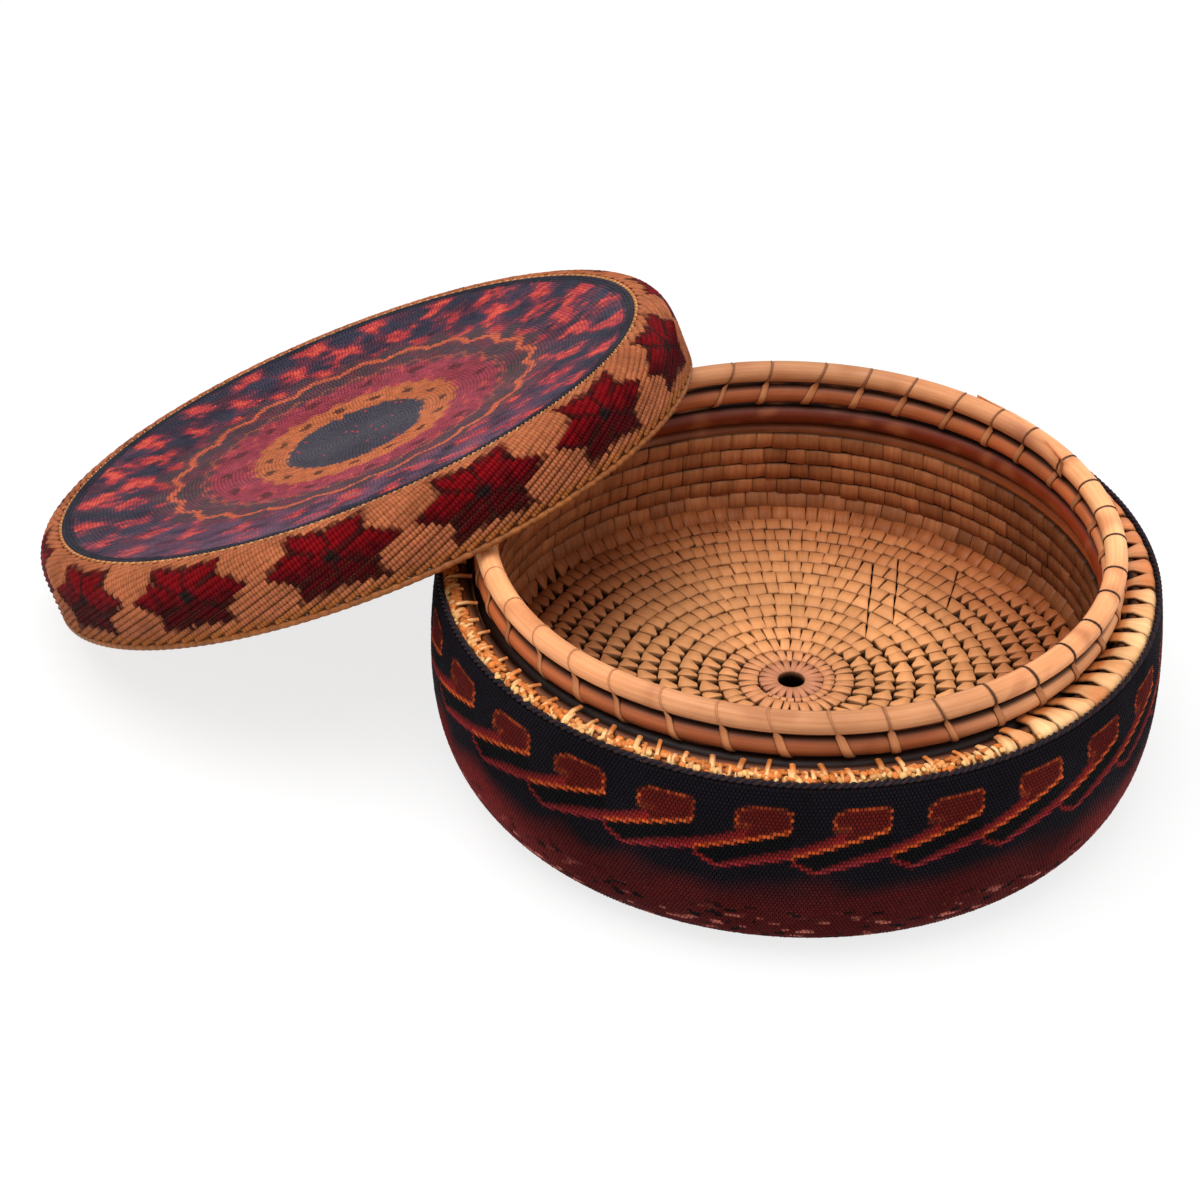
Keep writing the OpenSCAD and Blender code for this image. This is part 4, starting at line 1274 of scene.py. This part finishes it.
def lid_side_beads():
    """Slanting strings of beads round the lid, ribbed low down and close together over the shoulder."""
    line = lid_side_line()
    length = line_length(line)
    slope = math.radians(20)
    strings = 122
    rib = TAU * LID_RADIUS * math.sin(slope) / strings
    step = 1.2
    per_string = int(length / math.sin(slope) / step)
    t = (np.arange(per_string) + 0.5) * step
    height = t * math.sin(slope)
    spot, way = walk(line, height)
    out_way = np.stack([way[:, 1], -way[:, 0]], -1)
    start = TAU * np.arange(strings) / strings
    angle = start[:, None] + (t * math.cos(slope) / LID_RADIUS)[None]
    angle = angle + (0.5 * (np.arange(strings) % 2) * step / LID_RADIUS)[:, None] * math.cos(slope)
    out, round_ = compass(angle)
    up_way = way[None, :, 0:1] * out + way[None, :, 1:2] * UP
    along = unit(math.cos(slope) * round_ + math.sin(slope) * up_way)
    outward = out_way[None, :, 0:1] * out + out_way[None, :, 1:2] * UP
    close = fade(11, 17, height)
    centre = spot - out_way * (BEAD * (1.0 - 0.35 * close) / 2)[:, None]
    centres = centre[None, :, 0:1] * out + centre[None, :, 1:2] * UP
    wide = rib * (1.02 + 0.3 * close)
    tall = BEAD * (1.0 - 0.35 * close)
    size = np.stack([np.full(per_string, step * 1.25), wide, tall], -1)
    size = np.repeat(size[None], strings, 0).reshape(-1, 3)
    rng = np.random.default_rng(95)
    flat = centres.reshape(-1, 3)
    tint = star_tints(angle.ravel() % TAU, np.tile(height, strings), flat, rng)
    hem = 1 - fade(1.0, 3.4, np.tile(height, strings) + 0.6 * patches(flat, 8, 97))
    tint = paint(tint, 0.8 * hem, HEM_TAN)
    bead_field(
        "lid_side_beads", flat, along.reshape(-1, 3), outward.reshape(-1, 3), size, tint, SIDE_GLASS,
        "lid_side_beads", ["lid_side_beadwork"], "lid", 98,
    )


lid_side_beads()

TOP_NAVY = srgb(44, 42, 58)
TOP_GREY = srgb(74, 55, 60)
TOP_PURPLE = srgb(112, 48, 64)
TOP_RED = srgb(172, 54, 58)
TOP_ORANGE = srgb(208, 84, 66)
TOP_SHEEN = srgb(104, 70, 90)
TOP_LINE = srgb(190, 92, 62)
TOP_TAN = srgb(176, 97, 60)
TOP_CRIMSON = srgb(142, 53, 67)
TOP_CORE = srgb(62, 58, 68)
TOP_SPOT = srgb(76, 34, 38)
FLOWERS = 24
FLOWER_ROW = 89.5
FLOWER_APART = 13.4
SCALLOPS = 22
SPOTS = 15
TOP_DARK = srgb(34, 31, 48)
TOP_RIM = srgb(28, 27, 40)
TAN_SPOT = srgb(62, 36, 32)
CORE_SPECK = srgb(150, 60, 66)
# The side of the lid that faces the viewer, where a sheen is painted on the top
FRONT_SIDE = math.radians(270) - LID_AZIMUTH


def top_tints(radius, angle, points, rng):
    """Colours of the lid top: grey middle, tan, crimson, a scalloped line, then red flowers on navy.

    The flowers' lattice is a product of two waves, round the lid and out from its middle, so flowers of one
    row stand between those of the next. Uneven patches break up every edge.
    """
    count = len(radius)
    rough = patches(points, 6.5, 105)
    fine = patches(points, 3.0, 107)
    flat_radius = radius
    radius = radius + 0.8 * rough + 0.5 * fine
    tint = TOP_NAVY * (1 + 0.3 * patches(points, 18, 103))[:, None]
    tint = paint(tint, 0.5 * fade(-0.1, 0.9, patches(points, 16, 104)), TOP_PURPLE * 0.6)
    turn = angle / TAU * FLOWERS + 0.13 * patches(points, 13, 108)
    row = (FLOWER_ROW - radius) / FLOWER_APART + 0.13 * patches(points, 11, 109)
    bloom = np.cos(TAU * turn) * np.cos(math.pi * row) + 0.35 * patches(points, 24, 110)
    bloom = bloom + 0.5 * rough + 0.35 * fine + 0.3 * patches(points, 4.5, 115)
    tint = paint(tint, fade(-0.5, 0.2, bloom) * 0.6, TOP_PURPLE)
    tint = paint(tint, fade(0.2, 0.62, bloom) * 0.92, TOP_RED)
    tint = paint(tint, fade(0.75, 1.35, bloom + 0.3 * fine) * 0.85, TOP_ORANGE)
    tint = paint(tint, fade(0.5, 0.9, patches(points, 9, 116)) * 0.8, TOP_DARK)
    # Painted sheen on the side of the lid top that faces the viewer
    front = fade(0.2, 1.0, np.cos(angle - FRONT_SIDE))
    tint = paint(tint, 0.68 * front * fade(-0.7, 0.4, patches(points, 14, 117)), TOP_SHEEN)
    tint = paint(tint, fade(93.5, 95, radius), TOP_RIM)
    grey = 1 - fade(64, 69, radius + 2.5 * np.cos(angle * FLOWERS))
    ground = paint(plain(TOP_GREY, count), 0.6 * fade(-0.2, 0.8, patches(points, 11, 112)), TOP_PURPLE)
    tint = paint(tint, grey * 0.9, ground)
    scallop = np.abs(((angle / TAU * SCALLOPS + 0.06 * rough) % 1) * 2 - 1)
    wave = 58.8 + 3.4 * (1 - scallop ** 1.6) + 0.4 * fine
    tint = paint(tint, (1 - fade(0.7, 1.7, np.abs(flat_radius - wave))) * 0.95, TOP_LINE)
    crimson = 1 - fade(48, 51.5, radius + 1.4 * np.sin(angle * 31))
    red = TOP_CRIMSON * (1 + 0.2 * patches(points, 8, 111))[:, None]
    red = paint(red, 0.5 * fade(0.3, 1.0, patches(points, 7, 113)), TOP_PURPLE)
    red = paint(red, 0.5 * fade(0.3, 1.0, patches(points, 6, 114)), TOP_ORANGE)
    tint = paint(tint, crimson * 0.95, red)
    border = 51 + 1.2 * np.sin(angle * 31)
    tint = paint(tint, (1 - fade(0.4, 1.2, np.abs(radius - border))) * 0.35, TOP_LINE)
    cell = (angle / TAU * SPOTS + 0.1 * rough) % 1 - 0.5
    spot = np.hypot(cell / SPOTS * TAU * radius / 3.4, (radius - 44) / 2.6) + 0.2 * fine
    tint = paint(tint, crimson * (1 - fade(0.6, 1.0, spot)) * 0.85, TOP_SPOT)
    warm = 1 - fade(34.6, 36.4, radius + 0.9 * np.sin(angle * 27) + 1.6 * wander(angle, 118, 2, 7))
    tint = paint(tint, warm, TOP_TAN * (1 + 0.16 * fine)[:, None])
    cell = (angle / TAU * SPOTS + 0.3) % 1 - 0.5
    spot = np.hypot(cell / SPOTS * TAU * radius / 2.6, (radius - 30.0) / 2.0) + 0.2 * fine
    tint = paint(tint, warm * (1 - fade(0.6, 1.0, spot)) * 0.85, TAN_SPOT)
    ragged = 0.9 * fine + 0.9 * np.abs(np.sin(angle * 16)) + 1.2 * wander(angle, 119, 2, 9)
    core = 1 - fade(24, 25.0, flat_radius + ragged)
    tint = paint(tint, core, TOP_CORE)
    tint = paint(tint, core * (rng.uniform(0, 1, count) > 0.985), CORE_SPECK)
    return tint


def lid_top_beads():
    """Rings of beads on the sunken lid top, each ring with as many beads as fit."""
    pitch = TOP_BEAD
    rings = int(DISH_RADIUS / pitch)
    ring = (np.arange(rings) + 0.5) * DISH_RADIUS / rings
    fit = np.round(TAU * ring / pitch).astype(int)
    radius = np.repeat(ring, fit)
    order = np.arange(fit.sum()) - np.repeat(np.cumsum(fit) - fit, fit)
    rng = np.random.default_rng(113)
    shift = np.repeat(rng.uniform(0, 1, rings), fit)
    angle = TAU * (order + shift) / np.repeat(fit, fit)
    out, along = compass(angle)
    slope = (dish_drop(radius + 0.5) - dish_drop(radius - 0.5))[:, None]
    outward = unit(UP + slope * out)
    surface = LID_TOP - dish_drop(radius)
    centres = radius[:, None] * out + surface[:, None] * UP - outward * TOP_TALL / 2
    long = TAU * radius / np.repeat(fit, fit)
    size = np.stack([long * 1.15, np.full(len(radius), pitch * 1.4), np.full(len(radius), TOP_TALL)], -1)
    tint = top_tints(radius, angle % TAU, centres, rng)
    inner = radius < 56
    outer = radius > 79
    for name, mine, seed in (
        ("lid_top_beads_inner", inner, 115),
        ("lid_top_beads_middle", ~inner & ~outer, 116),
        ("lid_top_beads_outer", outer, 117),
    ):
        bead_field(
            name, centres[mine], along[mine], outward[mine], size[mine], tint[mine], TOP_GLASS,
            "lid_top_beads", ["lid_top_beadwork"], "lid", seed,
        )


lid_top_beads()


# Cords, cloth and the lid's cane

def twisted_cord(name, radius, height, thick, turns, colours, finish, slot, stands_for, body):
    """Two strands wound round each other along a circle; each strand is a tube on a fine helix."""
    steps = turns * 8
    sides = 6
    angle, _ = circle(steps)
    strand = thick * 0.27 * circle(sides)[1]
    spots = []
    tints = []
    for index, colour in enumerate(colours):
        turn = angle * turns + math.pi * index
        middle = thick * 0.225 * np.stack([np.cos(turn), np.sin(turn)], -1)
        section = middle[:, None] + strand
        made = hoop(angle, np.full(steps, radius), np.full(steps, height), section).reshape(-1, 3)
        spots.append(made)
        tints.append(colour * (1 + 0.15 * patches(made, 12, 121 + index))[:, None])
    quads, _, _ = grid_faces(steps, sides, True, True)
    add_piece(
        name, np.concatenate(spots), [repeated(quads, 2, steps * sides)], finish, body, stands_for,
        np.concatenate(tints),
    )


twisted_cord(
    "edge_cord", *EDGE_CORD, 150, (srgb(46, 30, 32), srgb(30, 26, 34)), EDGE_THREAD, "edge_cord",
    ["wall_edge_cord"], "box",
)
twisted_cord(
    "lid_border", *BORDER_CORD, 190, (srgb(196, 140, 92), srgb(160, 100, 58)), EDGE_THREAD, "edge_cord",
    ["lid_border_cord"], "lid",
)


HEM_BROWN = srgb(158, 94, 42)


def lid_hem():
    """Bound edge of the lid: a thin hoop wrapped by cane, with a bulge for each wrap and painted shade
    between them.
    """
    radius, height, thick = HEM_CORD
    wraps_round = 210
    per_wrap = 6
    steps = wraps_round * per_wrap
    sides = 10
    angle, _ = circle(steps)
    side, ring = circle(sides)
    swell = 0.84 + 0.16 * np.abs(np.sin(angle[:, None] * wraps_round / 2 + 0.5 * np.sin(side)))
    section = thick / 2 * swell[..., None] * ring
    points = hoop(angle, np.full(steps, radius), np.full(steps, height), section).reshape(-1, 3)
    quads, row, column = grid_faces(steps, sides, True, True)
    rng = np.random.default_rng(131)
    each = rng.uniform(0.75, 1.15, wraps_round)[np.arange(steps) // per_wrap]
    # Painted shade between the wraps, where each bulge is thinnest
    tint = HEM_BROWN * np.repeat(each, sides)[:, None] * (swell.reshape(-1, 1) * 1.6 - 0.6)
    add_piece(
        "lid_hem", points, [quads], HEM_CANE, "lid", ["lid_hem_cord"], tint,
        [np.stack([column * 0.3, row * 0.06], -1)],
    )


lid_hem()


def revolved(profile, columns):
    """A profile from the axis and back to it, turned round the axis, with one point at each of its ends."""
    ring = profile[profile[:, 0] > 0]
    points = turned(ring, columns)
    quads, _, _ = grid_faces(len(ring), columns, False, True)
    k = np.arange(columns)
    nxt = (k + 1) % columns
    poles = np.array([[0, 0, profile[0, 1]], [0, 0, profile[-1, 1]]])
    last = (len(ring) - 1) * columns
    first_fan = np.stack([np.full(columns, len(points)), k, nxt], -1)
    last_fan = np.stack([np.full(columns, len(points) + 1), last + nxt, last + k], -1)
    fans = np.concatenate([first_fan, last_fan])
    return np.concatenate([points, poles]), quads[:, ::-1], fans[:, ::-1]


def shell(line, thick, columns):
    """A thin sheet turned round the axis: an outline and its copy moved in, joined at the ends."""
    ring = np.concatenate([line, (line + thick * inwards(line))[::-1]])
    quads, _, _ = grid_faces(len(ring), columns, True, True)
    return turned(ring, columns), quads


DARK_CLOTH = srgb(44, 32, 33)
BROWN_CLOTH = srgb(112, 66, 36)


def backing_cloths():
    """Cloth under the beads: a dark band round the wall, and a round sheet on the lid, brown at its side."""
    columns = 160
    line = wall_line()[::-1]
    outer = line + BACKING_DEPTH * inwards(line)
    points, quads = shell(outer[::2], CLOTH + BEAD - BACKING_DEPTH, columns)
    cloth = add_piece(
        "wall_backing", points, [quads[:, ::-1]], BACKING, "box", ["wall_cloth"],
        plain(DARK_CLOTH, len(points)),
    )
    line = lid_side_line()
    side = line + BACKING_DEPTH * inwards(line)
    depth = BEAD + SKIN_GAP + CLOTH
    inner_side = line + depth * inwards(line)
    reach = np.linspace(0, DISH_RADIUS, 30)
    under = np.stack([reach, LID_TOP - depth - dish_drop(reach)], -1)
    top = np.stack([reach, LID_TOP - BACKING_DEPTH - dish_drop(reach)], -1)
    points, quads, fans = revolved(np.concatenate([under, inner_side[::-1], side, top[::-1]]), columns)
    brown = fade(DISH_RADIUS, DISH_RADIUS + 0.6, np.hypot(points[:, 0], points[:, 1]))
    cloth = add_piece(
        "lid_backing", points, [quads, fans], BACKING, "lid", ["lid_cloth"],
        paint(plain(DARK_CLOTH, len(points)), brown, BROWN_CLOTH),
    )


backing_cloths()


# Discs of coiled cane: radius where the spiral starts, a wrap's length along it, the core's depth and colour
DISC_START = 2.0
DISC_WRAP = 5.7
DISC_DEPTH = 2.4
DISC_DARK = srgb(60, 36, 20)
LID_COIL_CANE = srgb(204, 138, 80)
BASE_COIL_CANE = srgb(172, 110, 62)


def wrapped_disc(name, outer, underside, seed, colour, finish, body, node_name):
    """Disc of coiled cane seen from below: wraps along a spiral, whose last row thins to a round edge.

    underside gives the height of the disc's lower face by the radius.
    """
    last = (outer + COIL_PITCH / 2 - DISC_START) / COIL_PITCH
    turns = np.arange(0.35, last, 1 / 720)
    radius = COIL_PITCH * turns + DISC_START
    run = np.r_[0, np.cumsum(np.hypot(np.diff(radius), np.diff(turns) * TAU * radius[1:]))]
    count = int(run[-1] / DISC_WRAP)
    rng = np.random.default_rng(seed)
    at = np.interp((np.arange(count) + 0.5) * run[-1] / count, run, turns)
    share = np.clip(last - at, 0.1, 1)
    radius = COIL_PITCH * (at - (1 - share) / 2) + DISC_START
    out, along = compass(TAU * at)
    slope = (underside(radius - 0.5) - underside(radius + 0.5))[:, None]
    down = -unit(UP + slope * out)
    place = radius[:, None] * out + underside(radius)[:, None] * UP - down * 2.75
    size = np.stack([np.full(count, 5.45), 6.1 * share, np.full(count, 5.5)], -1)
    tint = colour * rng.uniform(0.82, 1.08, (count, 1)) * (1 + 0.14 * patches(place, 40, seed + 2))[:, None]
    taper = rng.uniform(0.05, 0.35, count)
    wraps(
        name, place, along, down, size, taper, -0.2 * taper, tint, np.full(count, 0.45), finish, body,
        node_name,
    )


def disc_core(name, profile, columns, finish, body, node_name):
    """Plain dark core of a disc of coiled cane, behind its wraps."""
    points, quads, fans = revolved(profile, columns)
    add_piece(
        name, points, [quads, fans], finish, body, [node_name], plain(DISC_DARK, len(points)),
        [np.zeros((len(quads), 4, 2)), np.zeros((len(fans), 3, 2))],
    )


def lid_cane():
    """The lid's three hoops, ties round the lower two, and its sunken disc of coiled cane."""
    tie_places = bindings(
        "lid_bindings", LID_TIES, LID_TIE_START, LID_ROD_RADIUS, LID_LOWER_Z, LID_UPPER_Z, LID_ROD, 5,
        ["lid_ties"], "lid",
    )
    for name, radius, height, seed, node_name in (
        ("lid_lower_hoop", LID_ROD_RADIUS, LID_LOWER_Z, 141, "lid_lower_rod"),
        ("lid_upper_hoop", LID_ROD_RADIUS, LID_UPPER_Z, 145, "lid_upper_rod"),
        ("lid_shoulder_hoop", *LID_SHOULDER, 149, "lid_shoulder_rod"),
    ):
        cane_hoop(
            name, radius, height, LID_ROD, seed, [node_name], "lid",
            ties=None if radius < LID_ROD_RADIUS else tie_places,
            tie_at=-0.5 if height < LID_UPPER_Z else 0.5, colour=LID_HOOP_CANE, grid=LID_GRID,
        )
    low = LID_DISC_TOP - LID_DISC_THICK
    wrapped_disc(
        "lid_coil", LID_DISC_RADIUS - 0.2, lambda radius: low - dish_drop(radius), 151, LID_COIL_CANE,
        FLOOR_CANE, "lid", "lid_disc",
    )
    reach = np.linspace(LID_DISC_RADIUS - 0.3, 0, 30)
    below = low + DISC_DEPTH - dish_drop(reach)
    above = LID_DISC_TOP - SKIN_GAP - dish_drop(reach)
    profile = np.concatenate([np.stack([reach, below], -1)[::-1], np.stack([reach, above], -1)])
    disc_core("lid_coil_core", profile, 120, FLOOR_CANE, "lid", "lid_disc")


lid_cane()


def base_coil():
    """Base of the outer basket: a wrapped coil underneath, over a plain core with a thin lip round it."""
    wrapped_disc(
        "base_coil", BASE_LIP - 0.2, np.zeros_like, 161, BASE_COIL_CANE, BASE_CANE, "box",
        "outer_base",
    )
    below = np.array([[0, DISC_DEPTH], [BASE_LIP, DISC_DEPTH], [BASE_LIP, 0.15], [BASE_LIP + 0.4, 0.15]])
    above = np.array([[BASE_RADIUS, BASE_THICK - 0.1], [0, BASE_THICK - 0.1]])
    profile = np.concatenate([below, above])
    disc_core("base_coil_core", profile, 180, BASE_CANE, "box", "outer_base")


base_coil()


def hidden_cane():
    """Plain cane for the basket pieces under the skin: fibres and grime in the object's own space."""
    made, tree, shader = new_finish("hidden_cane")
    coords = own_place(tree)
    streak = noise(tree, coords, 60.0, 4.0, 0.6, (1.0, 1.0, 9.0))
    pale = span(tree, streak, 0.3, 0.7, 0.0, 1.0)
    colour = blended(tree, pale, (*srgb(92, 54, 28), 1), (*srgb(150, 96, 52), 1))
    worn = grouped(tree, GRIME, Place=coords, Colour=colour, Amount=0.5, Size=40.0)
    bump = node(tree, "ShaderNodeBump", Strength=0.4, Distance=0.0004, Height=streak)
    tree.links.new(worn.outputs["Colour"], shader.inputs["Base Color"])
    tree.links.new(worn.outputs["Roughness"], shader.inputs["Roughness"])
    tree.links.new(bump.outputs["Normal"], shader.inputs["Normal"])
    for name in ("outer_wall", "foot_hoops"):
        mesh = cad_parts[name].data
        mesh.materials.clear()
        mesh.materials.append(made)


hidden_cane()


# Camera, light and floor

def put_at(thing, right, up, back, place):
    """Links a camera or a lamp at a place, turned so that it looks away from back."""
    columns = np.column_stack([right, up, back, place])
    thing.matrix_world = Matrix([*columns.tolist(), [0, 0, 0, 1]])
    bpy.context.scene.collection.objects.link(thing)


def set_camera():
    """Camera at the photograph's place: looking down at it from the front, with a slight roll."""
    rise = math.radians(34.88)
    roll = math.radians(0.84)
    distance = 950.0
    target = np.array([-58.9, 0.0, 49.9])
    back = np.array([0.0, -math.cos(rise), math.sin(rise)])
    right = np.array([1.0, 0.0, 0.0])
    up = np.array([0.0, math.sin(rise), math.cos(rise)])
    turned_right = math.cos(roll) * right + math.sin(roll) * up
    turned_up = -math.sin(roll) * right + math.cos(roll) * up
    place = (target + distance * back) * MM
    lens = bpy.data.cameras.new("camera")
    lens.lens = 94.72
    lens.sensor_width = 36.0
    lens.clip_start = 0.01
    camera = bpy.data.objects.new("camera", lens)
    put_at(camera, turned_right, turned_up, back, place)
    bpy.context.scene.camera = camera


def add_lamp(name, place, towards, size, power):
    """A square soft lamp that faces a point."""
    lamp = bpy.data.lights.new(name, "AREA")
    lamp.shape = "SQUARE"
    lamp.size = size
    lamp.energy = power
    thing = bpy.data.objects.new(name, lamp)
    back = unit(np.array(place) - np.array(towards))
    right = unit(np.cross(UP, back))
    put_at(thing, right, np.cross(back, right), back, place)


def pale_ray(tree):
    """1 for rays that show the background: straight from the camera, by gloss or through glass."""
    rays = node(tree, "ShaderNodeLightPath").outputs
    some = maths(tree, "MAXIMUM", rays["Is Camera Ray"], rays["Is Glossy Ray"])
    return maths(tree, "MAXIMUM", some, rays["Is Transmission Ray"])


FLOOR_REACH = 6.0


def studio():
    """White surroundings, a pale floor that keeps the shadow, and two soft lamps."""
    world = bpy.data.worlds.new("studio")
    bpy.context.scene.world = world
    world.use_nodes = True
    tree = world.node_tree
    tree.nodes.clear()
    shown = node(tree, "ShaderNodeBackground", Color=(1, 1, 1, 1), Strength=1.0)
    light = node(tree, "ShaderNodeBackground", Color=(1, 0.98, 0.95, 1), Strength=0.58)
    mixed = node(
        tree, "ShaderNodeMixShader", Fac=pale_ray(tree), i1=light.outputs[0], i2=shown.outputs[0]
    )
    tree.links.new(mixed.outputs[0], node(tree, "ShaderNodeOutputWorld").inputs["Surface"])
    mesh = bpy.data.meshes.new("floor")
    corners = [(x * FLOOR_REACH, y * FLOOR_REACH, -0.0003) for x, y in ((-1, -1), (1, -1), (1, 1), (-1, 1))]
    mesh.from_pydata(corners, [], [(0, 1, 2, 3)])
    made = bpy.data.materials.new("pale_floor")
    made.use_nodes = True
    tree = made.node_tree
    tree.nodes.clear()
    plain = node(tree, "ShaderNodeBsdfDiffuse", Color=(0.93, 0.93, 0.93, 1))
    glow = node(tree, "ShaderNodeEmission", Color=(1, 1, 1, 1), Strength=1.0)
    share = maths(tree, "MULTIPLY", pale_ray(tree), 0.78)
    mixed = node(tree, "ShaderNodeMixShader", Fac=share, i1=plain.outputs[0], i2=glow.outputs[0])
    tree.links.new(mixed.outputs[0], node(tree, "ShaderNodeOutputMaterial").inputs["Surface"])
    mesh.materials.append(made)
    floor = bpy.data.objects.new("floor", mesh)
    bpy.context.scene.collection.objects.link(floor)
    add_lamp("key", (-0.2, -0.22, 1.1), (0.0, 0, 0.04), 1.0, 14.0)
    add_lamp("fill", (0.9, -0.6, 0.6), (-0.05, 0, 0.04), 0.9, 2.2)


set_camera()
studio()
bpy.context.scene.view_settings.view_transform = "Standard"
